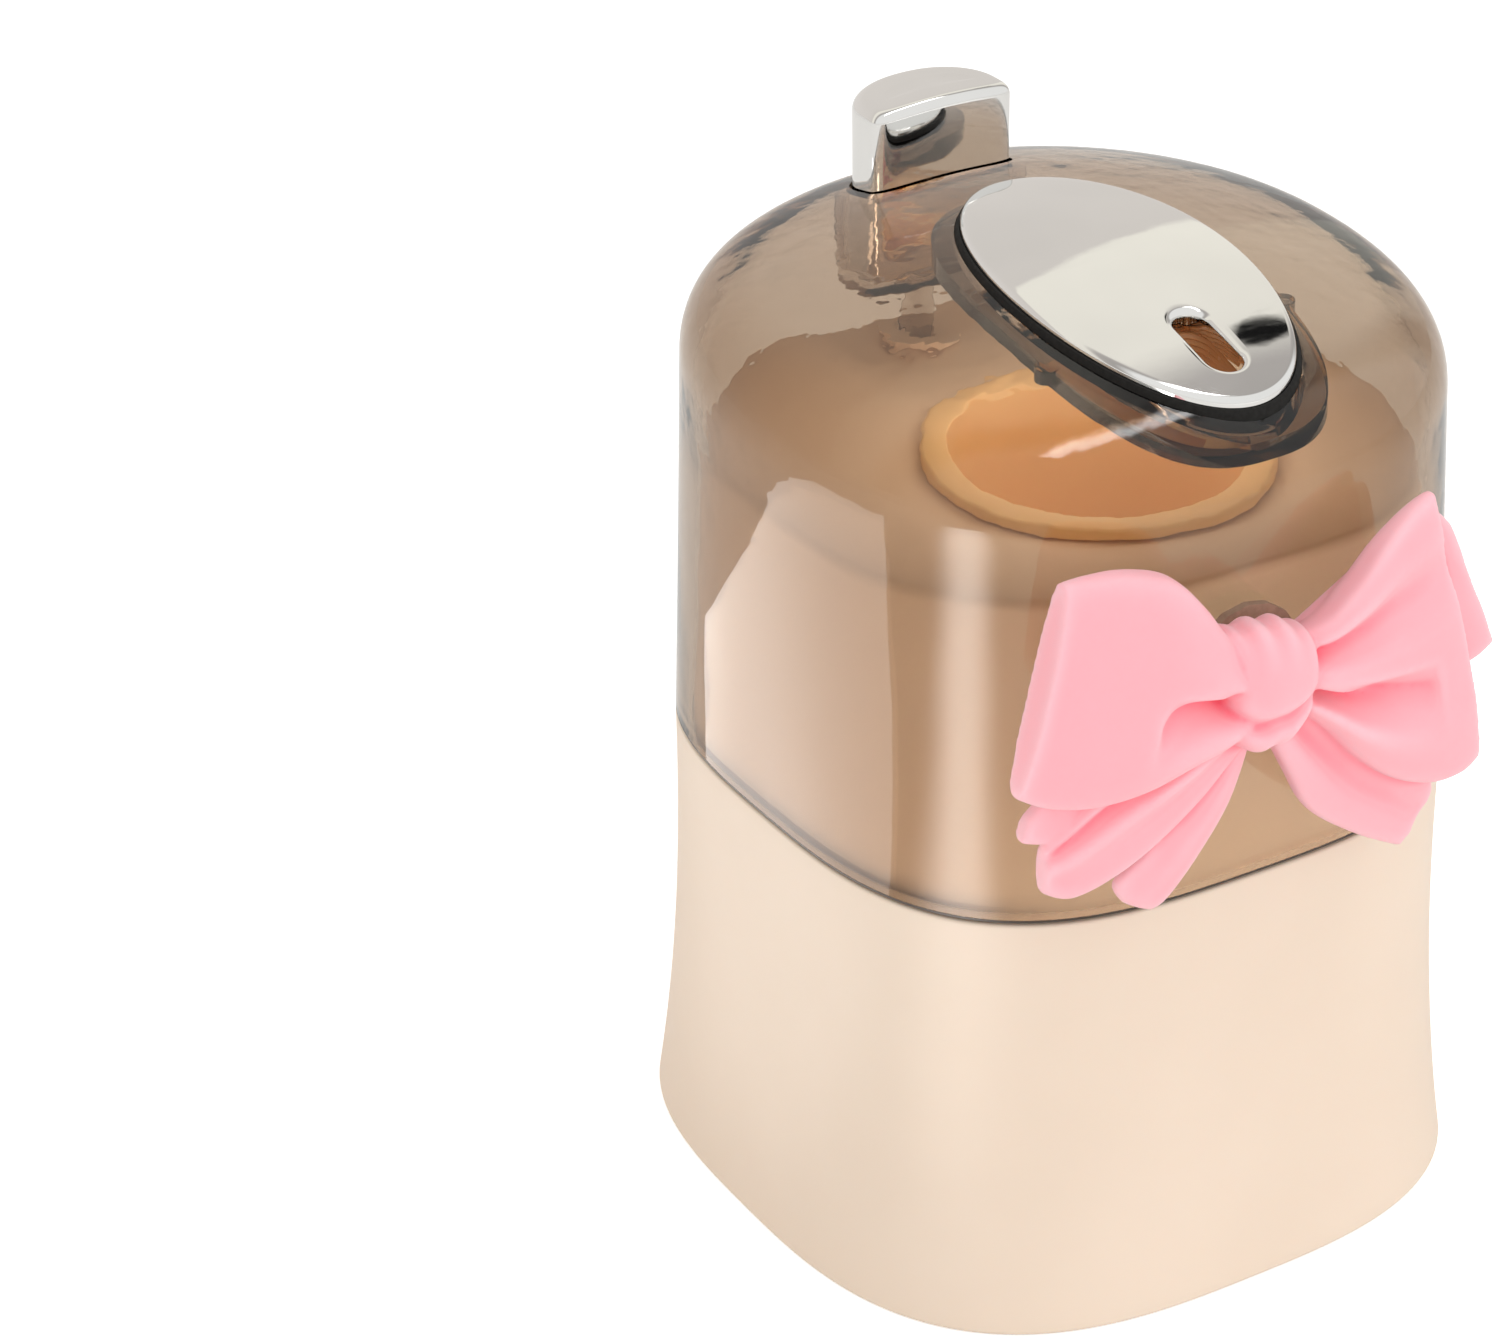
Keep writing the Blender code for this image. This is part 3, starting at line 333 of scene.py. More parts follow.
@dataclass(frozen=True)
class ChromePlating:
    """Mirror-bright plating over moulded plastic, with the moulding's faint waves and fine wipe marks."""

    name: str
    colour: Colour
    waves: float = 0.000035

    def material(self) -> bpy.types.Material:
        """The finish as a node material."""
        tree = Tree(self.name)
        shader = tree.principled(Metallic=1.0)
        cloud = tree.ranged(tree.noise(0.014, 2.0), 0.35, 0.65, 0.0, 1.0)
        colour = tree.between(cloud, self.colour, tuple(0.95 * part for part in self.colour))
        tree.links.new(colour, shader.inputs["Base Color"])
        wipes = tree.noise(0.0012, 3.0, 0.6, (6.0, 1.0, 1.0))
        tree.links.new(tree.ranged(wipes, 0.45, 0.80, 0.035, 0.10), shader.inputs["Roughness"])
        slow = tree.relief(tree.noise(0.0075, 1.0), self.waves)
        tree.links.new(tree.relief(tree.noise(0.0012, 1.0), self.waves * 0.05, slow), shader.inputs["Normal"])
        return tree.show(shader)


@dataclass(frozen=True)
class Metal:
    """Plain turned or drawn steel with fine marks."""

    name: str
    colour: Colour
    roughness: float = 0.28

    def material(self) -> bpy.types.Material:
        """The finish as a node material."""
        tree = Tree(self.name)
        shader = tree.principled(Metallic=1.0)
        marks = tree.noise(0.0005, 3.0, 0.6, (8.0, 1.0, 1.0))
        tree.links.new(tree.between(marks, self.colour, tuple(0.7 * part for part in self.colour)), shader.inputs["Base Color"])
        tree.links.new(tree.ranged(marks, 0.3, 0.7, self.roughness, self.roughness + 0.15), shader.inputs["Roughness"])
        tree.links.new(tree.relief(marks, 0.000008), shader.inputs["Normal"])
        return tree.show(shader)


@dataclass(frozen=True)
class SoftRubber:
    """Rubber or foam: dull, with a pored surface."""

    name: str
    colour: Colour
    pore: float = 0.0004
    depth: float = 0.00003
    roughness: float = 0.7

    def material(self) -> bpy.types.Material:
        """The finish as a node material."""
        tree = Tree(self.name)
        shader = tree.principled(Specular_IOR_Level=0.3)
        pores = tree.noise(self.pore, 3.0)
        tree.links.new(tree.between(pores, self.colour, tuple(0.6 * part for part in self.colour)), shader.inputs["Base Color"])
        tree.links.new(tree.ranged(pores, 0.3, 0.7, self.roughness, self.roughness + 0.15), shader.inputs["Roughness"])
        tree.links.new(tree.relief(pores, self.depth), shader.inputs["Normal"])
        return tree.show(shader)


@dataclass(frozen=True)
class PinkSilicone:
    """Soft matt silicone with painted shade and painted highlight: a deeper pink painted into its hollows and a lighter
    pink painted onto its ridges.
    """

    name: str
    colour: Colour
    # Painted shade: the deeper pink for the hollows and folds.
    fold: Colour
    # Painted highlight: the lighter pink for the ridges.
    edge: Colour

    def material(self) -> bpy.types.Material:
        """The finish as a node material that reads the fold attribute of the bow, to paint shade into the hollows and a
        highlight onto the ridges.
        """
        tree = Tree(self.name)
        shader = tree.principled(
            IOR=1.42, Subsurface_Weight=0.25, Subsurface_Scale=0.0016, Sheen_Weight=0.12, Sheen_Roughness=0.5,
        )
        shader.inputs["Subsurface Radius"].default_value = (1.0, 0.36, 0.36)
        hollow = tree.nodes.new("ShaderNodeAttribute")
        hollow.attribute_name = "hollow"
        cloud = tree.ranged(tree.noise(0.010, 2.0), 0.35, 0.65, 0.0, 1.0)
        colour = tree.between(cloud, self.colour, tuple(min(1.0, 1.015 * part) for part in self.colour))
        # Painted shade: the hollows turn a deeper pink.
        colour = tree.between(tree.ranged(hollow.outputs["Fac"], 0.55, 1.0, 0.0, 1.0), colour, self.fold)
        # Painted highlight: the ridges turn a lighter pink.
        colour = tree.between(tree.ranged(hollow.outputs["Fac"], 0.45, 0.12, 0.0, 0.8), colour, self.edge)
        speck = tree.specks(0.013, 0.014)
        tree.links.new(tree.between(speck, colour, tuple(0.6 * part for part in self.fold)), shader.inputs["Base Color"])
        rough = tree.ranged(tree.noise(0.0012, 3.0), 0.3, 0.7, 0.50, 0.60)
        tree.links.new(rough, shader.inputs["Roughness"])
        tree.links.new(tree.relief(tree.noise(0.0005, 2.0), 0.000008), shader.inputs["Normal"])
        return tree.show(shader)


class Palette:
    """The finishes of this dispenser, each made once."""

    def __init__(self) -> None:
        """Make the materials."""
        self.cream = MouldedPlastic("cream moulded plastic", (0.83, 0.685, 0.560), (0.81, 0.665, 0.540), 0.46, 0.12).material()
        self.hopper = MouldedPlastic("cream hopper plastic", (0.88, 0.66, 0.46), (0.85, 0.63, 0.43), 0.46).material()
        self.smoke = ClearPlastic("smoky clear plastic", (0.755, 0.665, 0.575), 0.0020, mottle=0.00009).material()
        self.smoke_thick = ClearPlastic("thick smoky plastic", (0.26, 0.22, 0.19), 0.0027).material()
        self.smoke_thin = ClearPlastic("thin smoky plastic", (0.86, 0.82, 0.78), 0.0012, ior=1.06).material()
        # Painted shade: a near-black colour for the seam line at the cover's foot.
        self.seam_shade = MouldedPlastic("painted seam shade", (0.055, 0.038, 0.028), (0.045, 0.03, 0.022), 0.3).material()
        self.chrome = ChromePlating("chrome plating", (0.80, 0.795, 0.78)).material()
        self.amber = MouldedPlastic("amber plastic", (0.90, 0.58, 0.27), (0.88, 0.54, 0.23), 0.40, 0.15, 0.004, 0.2).material()
        self.guide = MouldedPlastic("amber guide plastic", linear(206, 152, 104), linear(176, 122, 78), 0.25, 0.1, 0.003, 0.4).material()
        self.white = MouldedPlastic("white moulded plastic", (0.80, 0.79, 0.76), (0.76, 0.75, 0.72), 0.40).material()
        self.steel = Metal("steel", (0.56, 0.57, 0.58)).material()
        # Black rubber for the plate's seal, whose black is partly painted shade for the gap round the plate.
        self.rubber = SoftRubber("black rubber", (0.012, 0.011, 0.010)).material()
        self.foam = SoftRubber("pad foam", (0.42, 0.27, 0.19), 0.0006, 0.00006, 0.8).material()
        # The bow's pink, with painted shade for its hollows and a painted highlight for its ridges.
        self.pink = PinkSilicone("pink silicone", linear(252, 175, 185), linear(252, 122, 140), linear(253, 194, 203)).material()


class Loft:
    """A surface grown ring by ring: each ring is extruded from the last and moved to its place."""

    def __init__(self, spokes: int, first: Place) -> None:
        """Start with one ring.

        Args:
            spokes: How many points each ring has.
            first: The place of the ring's point in each direction.
        """
        self.bm = bmesh.new()
        self.spokes = spokes
        self.spoke = self.bm.verts.layers.int.new("spoke")
        made = bmesh.ops.create_circle(self.bm, segments=spokes, radius=1.0, cap_ends=False)
        for number, vert in enumerate(made["verts"]):
            vert[self.spoke] = number
        self.first = list(self.bm.edges)
        self.edge = self.first
        self._move(made["verts"], first)

    def _move(self, verts: Iterable[bmesh.types.BMVert], place: Place) -> None:
        """Move points to their places.

        Args:
            verts: The points of one ring.
            place: The place in each direction.
        """
        for vert in verts:
            vert.co = place(2 * math.pi * vert[self.spoke] / self.spokes)

    def ring(self, place: Place) -> "Loft":
        """Extrude a further ring.

        Args:
            place: The place of the ring's point in each direction.

        Returns:
            This loft.
        """
        made = bmesh.ops.extrude_edge_only(self.bm, edges=self.edge)["geom"]
        verts = {item for item in made if isinstance(item, bmesh.types.BMVert)}
        self.edge = [
            item for item in made
            if isinstance(item, bmesh.types.BMEdge) and item.verts[0] in verts and item.verts[1] in verts
        ]
        self._move(verts, place)
        return self

    def rings(self, places: Iterable[Place]) -> "Loft":
        """Extrude several rings.

        Args:
            places: The rings' places, in order.

        Returns:
            This loft.
        """
        for place in places:
            self.ring(place)
        return self

    def close(self) -> "Loft":
        """Bridge the last ring to the first, as round a tube's section."""
        bmesh.ops.bridge_loops(self.bm, edges=self.first + self.edge)
        return self

    def cap(self) -> "Loft":
        """Close both ends, each with a fan to its middle."""
        for edges in (self.first, self.edge):
            faces = bmesh.ops.edgeloop_fill(self.bm, edges=edges)["faces"]
            bmesh.ops.poke(self.bm, faces=faces)
        return self


class Shop:
    """Turns meshes into finished pieces of the scene."""

    @staticmethod
    def mesh_object(name: str, bm: bmesh.types.BMesh) -> bpy.types.Object:
        """Make an object at the origin from a mesh.

        Args:
            name: The object's name.
            bm: The mesh, which is used up.

        Returns:
            The object.
        """
        bmesh.ops.recalc_face_normals(bm, faces=bm.faces)
        for layer in list(bm.verts.layers.int):
            bm.verts.layers.int.remove(layer)
        mesh = bpy.data.meshes.new(name)
        bm.to_mesh(mesh)
        bm.free()
        obj = bpy.data.objects.new(name, mesh)
        bpy.context.scene.collection.objects.link(obj)
        return obj

    @staticmethod
    def bake(obj: bpy.types.Object) -> None:
        """Apply an object's modifiers to its mesh.

        Args:
            obj: The object.
        """
        graph = bpy.context.evaluated_depsgraph_get()
        mesh = bpy.data.meshes.new_from_object(obj.evaluated_get(graph))
        obj.modifiers.clear()
        obj.data = mesh

    @classmethod
    def work(cls, obj: bpy.types.Object, steps: Sequence[tuple[Joining, bmesh.types.BMesh]]) -> None:
        """Cut shapes out of an object and join shapes on, in order.

        Args:
            obj: The object.
            steps: What to do and with which shape.
        """
        helpers = []
        for joining, bm in steps:
            helper = cls.mesh_object(f"{obj.name}_helper", bm)
            modifier = obj.modifiers.new("work", "BOOLEAN")
            modifier.operation = joining.value
            modifier.solver = "EXACT"
            modifier.object = helper
            helpers.append(helper)
        cls.bake(obj)
        for helper in helpers:
            bpy.data.objects.remove(helper, do_unlink=True)

    @staticmethod
    def finish(obj: bpy.types.Object, body: Body, slot: Slot, material: bpy.types.Material,
               nodes: Sequence[str] = (), sharp: float = 32.0) -> bpy.types.Object:
        """Shade, dress and place a finished piece.

        Args:
            obj: The piece.
            body: The body it rides on.
            slot: The record's material slot; not used.
            material: Its material.
            nodes: The CAD nodes it stands for.
            sharp: The angle in degrees past which an edge stays sharp.

        Returns:
            The piece.
        """
        obj.data.shade_smooth()
        obj.data.set_sharp_from_angle(angle=math.radians(sharp))
        obj.data.materials.clear()
        obj.data.materials.append(material)
        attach(obj, body.value)
        if nodes:
            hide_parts(*nodes)
        log.info("%s: %d faces", obj.name, len(obj.data.polygons))
        return obj

    @staticmethod
    def dress_node(name: str, material: bpy.types.Material) -> None:
        """Give a CAD node a material.

        Args:
            name: The node's name.
            material: The material.
        """
        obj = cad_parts[name]
        obj.data.materials.clear()
        obj.data.materials.append(material)
        log.info("%s: CAD solid dressed", name)


def quarter(steps: int) -> list[float]:
    """Turns in radians that step round a quarter circle, its start left out.

    Args:
        steps: How many steps it takes.

    Returns:
        The turns.
    """
    return [math.pi / 2 * step / steps for step in range(1, steps + 1)]


def level(height: float) -> Height:
    """A height that is the same everywhere."""
    return lambda x, y: height


def circle(radius: float, x: float, y: float, z: float) -> Place:
    """A level ring round an upright axis."""
    return lambda a: Vector((x + radius * math.cos(a), y + radius * math.sin(a), z))


def turned(profile: Sequence[tuple[float, float]], x: float, y: float, spokes: int = 64) -> Loft:
    """A solid of revolution round an upright axis.

    Args:
        profile: Pairs of radius and height from end to end.
        x: The axis' place along X.
        y: The axis' place along Y.
        spokes: How many points each ring has.

    Returns:
        The capped loft.
    """
    places = [circle(radius, x, y, z) for radius, z in profile]
    return Loft(spokes, places[0]).rings(places[1:]).cap()


def signed_power(value: float, power: float) -> float:
    """A power that keeps the sign."""
    return math.copysign(abs(value) ** power, value)


@dataclass(frozen=True)
class RoundedSquare:
    """A rounded square outline, between a circle and a square."""

    half: float
    squareness: float

    def reach(self, angle: float) -> float:
        """The outline's distance from the centre in one direction."""
        across = abs(math.cos(angle)) ** self.squareness + abs(math.sin(angle)) ** self.squareness
        return self.half / across ** (1 / self.squareness)


@dataclass(frozen=True)
class Roof:
    """The cover's domed roof."""

    top: float = 0.1016
    radius: float = 0.0952
    lean: float = 0.0363

    def height(self, x: float, y: float) -> float:
        """The height of the roof's outer face."""
        return self.top - (x * x + y * y) / (2 * self.radius) + self.lean * y


SEAM = RoundedSquare(0.0350, 3.06)
SEAM_HEIGHT = 0.0467
GAP = 0.0003


@dataclass
class BaseAssembly:
    """The flared cream base with its bottom plate and screws."""

    foot_half: float = 0.0381
    foot_squareness: float = 2.90
    flare_power: float = 2.28
    wall: float = 0.0022
    edge_round: float = 0.0006
    seam_round: float = 0.00035
    lip_width: float = 0.0055
    lip_height: float = 0.0012
    flare_rings: int = 26
    spokes: int = 192

    def outline(self, height: float) -> RoundedSquare:
        """The shell's outline at a height."""
        share = height / SEAM_HEIGHT
        half = SEAM.half + (self.foot_half - SEAM.half) * (1 - share) ** self.flare_power
        return RoundedSquare(half, self.foot_squareness + (SEAM.squareness - self.foot_squareness) * share)

    def ring(self, height: float, inset: float) -> Place:
        """A ring on the shell, drawn in by an inset.

        Args:
            height: The ring's height.
            inset: How far it lies inside the outer face.

        Returns:
            The ring's place.
        """
        outline = self.outline(height)

        def place(a: float) -> Vector:
            """The point in one direction."""
            distance = outline.reach(a) - inset
            return Vector((distance * math.cos(a), distance * math.sin(a), height))

        return place

    def build_shell(self, palette: Palette) -> bpy.types.Object:
        """The shell, with rounded edges at its foot and its seam.

        Args:
            palette: The finishes.

        Returns:
            The piece.
        """
        foot, seam = self.edge_round, self.seam_round
        places = [self.ring(0.0, foot)]
        places += [self.ring(foot * (1 - math.cos(turn)), foot * (1 - math.sin(turn))) for turn in quarter(4)]
        span = SEAM_HEIGHT - foot - seam
        for step in range(1, self.flare_rings + 1):
            places.append(self.ring(foot + span * (step / self.flare_rings) ** 1.15, 0.0))
        top = SEAM_HEIGHT - seam
        places += [self.ring(top + seam * math.sin(turn), seam * (1 - math.cos(turn))) for turn in quarter(3)]
        places += [self.ring(SEAM_HEIGHT, self.wall - seam), self.ring(top, self.wall)]
        for step in range(1, 7):
            places.append(self.ring(top + (self.lip_height - top) * step / 6, self.wall))
        places += [self.ring(self.lip_height, self.lip_width), self.ring(0.0, self.lip_width)]
        loft = Loft(self.spokes, places[0]).rings(places[1:]).close()
        obj = Shop.mesh_object("flared_base_shell", loft.bm)
        return Shop.finish(obj, Body.BASE, Slot.CREAM, palette.cream, ["base_shell"])

    def dress(self, palette: Palette) -> None:
        """Dress the CAD solids under the base.

        Args:
            palette: The finishes.
        """
        Shop.dress_node("bottom_plate", palette.cream)
        for number in range(1, 5):
            Shop.dress_node(f"bottom_screw_{number}", palette.steel)
        for number in range(1, 3):
            Shop.dress_node(f"frame_screw_{number}", palette.steel)


@dataclass
class CoverAssembly:
    """The smoky cover with the plate's skirt, the seal, the button's sleeve and the painted shade band at its foot."""

    roof: Roof = field(default_factory=Roof)
    crown: RoundedSquare = field(default_factory=lambda: RoundedSquare(0.0363, 2.245))
    wall: float = 0.0020
    shoulder: float = 0.0065
    foot: float = 0.0470
    # The height of the painted shade band at the cover's foot.
    foot_shade_band: float = 0.00032
    plate_half_width: float = 0.0124
    plate_half_length: float = 0.02145
    plate_y: float = -0.01035
    plate_gap: float = 0.0006
    skirt_outset: float = 0.0012
    skirt_reach: float = 0.0002
    skirt_thickness: float = 0.0027
    skirt_depth: float = 0.0043
    skirt_squareness: float = 2.6
    seat_depth: float = 0.0019
    rib_y: float = -0.0170
    rib_radius: float = 0.0012
    sleeve_wall: float = 0.0012
    sleeve_bottom: float = 0.0900
    spokes: int = 192
    rim_spokes: int = 128

    def corner(self, angle: float, inset: float) -> tuple[float, float]:
        """Where wall and roof would meet unrounded.

        Args:
            angle: The direction.
            inset: How far inside the outer face.

        Returns:
            The distance from the middle and the height.
        """
        distance = self.crown.reach(angle) - inset
        return distance, self.roof.height(distance * math.cos(angle), distance * math.sin(angle)) - inset

    def reach(self, angle: float, height: float, inset: float = 0.0) -> float:
        """The wall's distance from the middle below the shoulder."""
        low = SEAM.reach(angle) - inset
        high, corner_height = self.corner(angle, inset)
        share = (height - SEAM_HEIGHT) / (corner_height - self.shoulder - SEAM_HEIGHT)
        return low + (high - low) * min(max(share, 0.0), 1.0)

    def wall_ring(self, height: float, inset: float) -> Place:
        """A level ring on the wall."""
        def place(a: float) -> Vector:
            """The point in one direction."""
            distance = self.reach(a, height, inset)
            return Vector((distance * math.cos(a), distance * math.sin(a), height))

        return place

    def wall_share_ring(self, share: float, inset: float) -> Place:
        """A ring part of the way from the foot to where the shoulder starts."""
        def place(a: float) -> Vector:
            """The point in one direction."""
            _, corner_height = self.corner(a, inset)
            height = self.foot + (corner_height - self.shoulder - self.foot) * share
            distance = self.reach(a, height, inset)
            return Vector((distance * math.cos(a), distance * math.sin(a), height))

        return place

    def shoulder_ring(self, share: float, inset: float) -> Place:
        """A ring part of the way round the shoulder."""
        def place(a: float) -> Vector:
            """The point in one direction."""
            corner, corner_height = self.corner(a, inset)
            on_roof = corner - self.shoulder
            roof_height = self.roof.height(on_roof * math.cos(a), on_roof * math.sin(a)) - inset
            start, middle, end = (1 - share) ** 2, 2 * share * (1 - share), share ** 2
            distance = (start + middle) * corner + end * on_roof
            height = start * (corner_height - self.shoulder) + middle * corner_height + end * roof_height
            return Vector((distance * math.cos(a), distance * math.sin(a), height))

        return place

    def roof_ring(self, shrink: float, inset: float) -> Place:
        """A ring on the roof inside the shoulder, shrunk towards the middle."""
        def place(a: float) -> Vector:
            """The point in one direction."""
            corner, _ = self.corner(a, inset)
            distance = (corner - self.shoulder) * shrink
            x, y = distance * math.cos(a), distance * math.sin(a)
            return Vector((x, y, self.roof.height(x, y) - inset))

        return place

    def skin(self, inset: float) -> list[Place]:
        """The rings of one face of the cover, from the foot to near the roof's middle."""
        places = [self.wall_share_ring(step / 14, inset) for step in range(1, 14)]
        places += [self.shoulder_ring(step / 14, inset) for step in range(15)]
        places += [self.roof_ring(1 - step / 18.5, inset) for step in range(1, 19)]
        return places

    def plate_ring(self, grow: float, height: Height, drop: float = 0.0) -> Place:
        """A ring along the plate's oval.

        Args:
            grow: How far outside the oval.
            height: The height at each place.
            drop: How far below that height.

        Returns:
            The ring's place.
        """
        def place(a: float) -> Vector:
            """The point in one direction."""
            x = (self.plate_half_width + grow) * math.cos(a)
            y = self.plate_y + (self.plate_half_length + grow) * math.sin(a)
            return Vector((x, y, height(x, y) - drop))

        return place

    def skirt_ring(self, grow: float, drop: float) -> Place:
        """A ring along the skirt's squarer oval, below the roof's outer face."""
        def place(a: float) -> Vector:
            """The point in one direction."""
            half_length = self.plate_half_length + self.skirt_outset + self.skirt_reach
            power = 2 / self.skirt_squareness
            x = (self.plate_half_width + self.skirt_outset + grow) * signed_power(math.cos(a), power)
            y = self.plate_y + (half_length + grow) * signed_power(math.sin(a), power)
            return Vector((x, y, self.roof.height(x, y) - drop))

        return place

    def build_shell(self, button: "ButtonAssembly", palette: Palette) -> bpy.types.Object:
        """The clear shell, with the plate's opening and the bore for the button.

        Args:
            button: The button, whose outline the bore follows.
            palette: The finishes.

        Returns:
            The piece.
        """
        foot = self.foot + self.foot_shade_band + 0.00003
        outside = [self.wall_ring(foot, 0.0)] + self.skin(0.0)
        cover = Shop.mesh_object("smoky_cover", Loft(self.spokes, outside[0]).rings(outside[1:]).cap().bm)
        hollow = [self.wall_ring(self.foot - 0.004, self.wall), self.wall_ring(self.foot, self.wall)] + self.skin(self.wall)
        hollow_loft = Loft(self.spokes, hollow[0]).rings(hollow[1:]).cap()
        opening = [self.plate_ring(self.plate_gap, self.roof.height, drop) for drop in (0.006, -0.004)]
        opening_loft = Loft(self.rim_spokes, opening[0]).rings(opening[1:]).cap()
        bore = [button.ring(GAP, level(self.sleeve_bottom)), button.ring(GAP, level(self.roof.top + 0.004))]
        bore_loft = Loft(self.rim_spokes, bore[0]).rings(bore[1:]).cap()
        Shop.work(cover, [
            (Joining.CUT, hollow_loft.bm), (Joining.CUT, opening_loft.bm), (Joining.CUT, bore_loft.bm),
        ])
        return Shop.finish(cover, Body.COVER, Slot.SMOKY, palette.smoke, ["cover_shell"], 40.0)

    def build_sleeve(self, button: "ButtonAssembly", palette: Palette) -> bpy.types.Object:
        """The thin sleeve that guides the button under the roof.

        Args:
            button: The button, whose outline the sleeve follows.
            palette: The finishes.

        Returns:
            The piece.
        """
        under = lambda x, y: self.roof.height(x, y) - self.wall - 0.00003
        inner, outer, soft = GAP, GAP + self.sleeve_wall, 0.0003
        places = [
            button.ring(inner, under), button.ring(outer, under),
            button.ring(outer, level(self.sleeve_bottom + soft)), button.ring(outer - soft, level(self.sleeve_bottom)),
            button.ring(inner, level(self.sleeve_bottom)),
        ]
        sleeve = Shop.mesh_object("button_sleeve", Loft(self.rim_spokes, places[0]).rings(places[1:]).close().bm)
        return Shop.finish(sleeve, Body.COVER, Slot.SMOKY, palette.smoke_thin, [], 40.0)

    def build_foot_shade_band(self, palette: Palette) -> bpy.types.Object:
        """A near-black band at the cover's foot: painted shade for the dark line of the seam.

        Args:
            palette: The finishes.

        Returns:
            The piece.
        """
        low, high, soft = self.foot, self.foot + self.foot_shade_band, 0.00012
        places = [
            self.wall_ring(high, self.wall), self.wall_ring(low, self.wall), self.wall_ring(low, soft),
            self.wall_ring(low + soft, 0.0), self.wall_ring(high, 0.0),
        ]
        # Painted shade: an opaque near-black band where the seam is in shade.
        line = Shop.mesh_object("cover_foot_shade_band", Loft(self.spokes, places[0]).rings(places[1:]).close().bm)
        return Shop.finish(line, Body.COVER, Slot.SMOKY, palette.seam_shade, [], 40.0)

    def build_skirt(self, palette: Palette) -> bpy.types.Object:
        """The thick skirt round the plate's seat, with a rib at each side.

        Args:
            palette: The finishes.

        Returns:
            The piece.
        """
        top = self.wall + 0.00004
        inside = self.skirt_thickness
        outer = [
            self.skirt_ring(0.0, top), self.skirt_ring(0.0, (top + self.skirt_depth) / 2),
            self.skirt_ring(0.0, self.skirt_depth - 0.0003), self.skirt_ring(-0.0003, self.skirt_depth),
        ]
        inner = [
            self.skirt_ring(-inside + 0.0003, self.skirt_depth), self.skirt_ring(-inside, self.skirt_depth - 0.0003),
            self.skirt_ring(-inside, top),
        ]
        loft = Loft(self.rim_spokes, outer[0]).rings(outer[1:] + inner).close()
        skirt = Shop.mesh_object("plate_skirt", loft.bm)
        ribs = []
        for side in (-1, 1):
            x = side * (self.plate_half_width + self.skirt_outset - 0.0002)
            z = self.roof.height(x, self.rib_y)
            profile = ((self.rib_radius, z - self.skirt_depth + 0.0008), (self.rib_radius, z - top - 0.0001))
            ribs.append((Joining.ADD, turned(profile, x, self.rib_y, 24).bm))
        Shop.work(skirt, ribs)
        return Shop.finish(skirt, Body.COVER, Slot.SMOKY, palette.smoke_thick, [], 40.0)

    def build_seal(self, palette: Palette) -> bpy.types.Object:
        """The black seal round the plate; its black line also stands as painted shade for the gap round the plate.

        Args:
            palette: The finishes.

        Returns:
            The piece.
        """
        low, rise = 0.0019, 0.0006
        outer, inner, height = self.plate_gap - 0.00005, -0.0010, self.roof.height
        places = [
            self.plate_ring(outer, height, low), self.plate_ring(outer, height, 0.0),
            self.plate_ring(0.0003, height, -rise), self.plate_ring(0.00006, height, -rise),
            self.plate_ring(0.00006, height, 0.0011), self.plate_ring(inner, height, 0.0011),
            self.plate_ring(inner, height, low),
        ]
        loft = Loft(self.rim_spokes, places[0]).rings(places[1:]).close()
        seal = Shop.mesh_object("plate_edge_seal", loft.bm)
        # The seal's black is partly painted shade for the plate's gap.
        return Shop.finish(seal, Body.COVER, Slot.RUBBER, palette.rubber, ["plate_seal"])


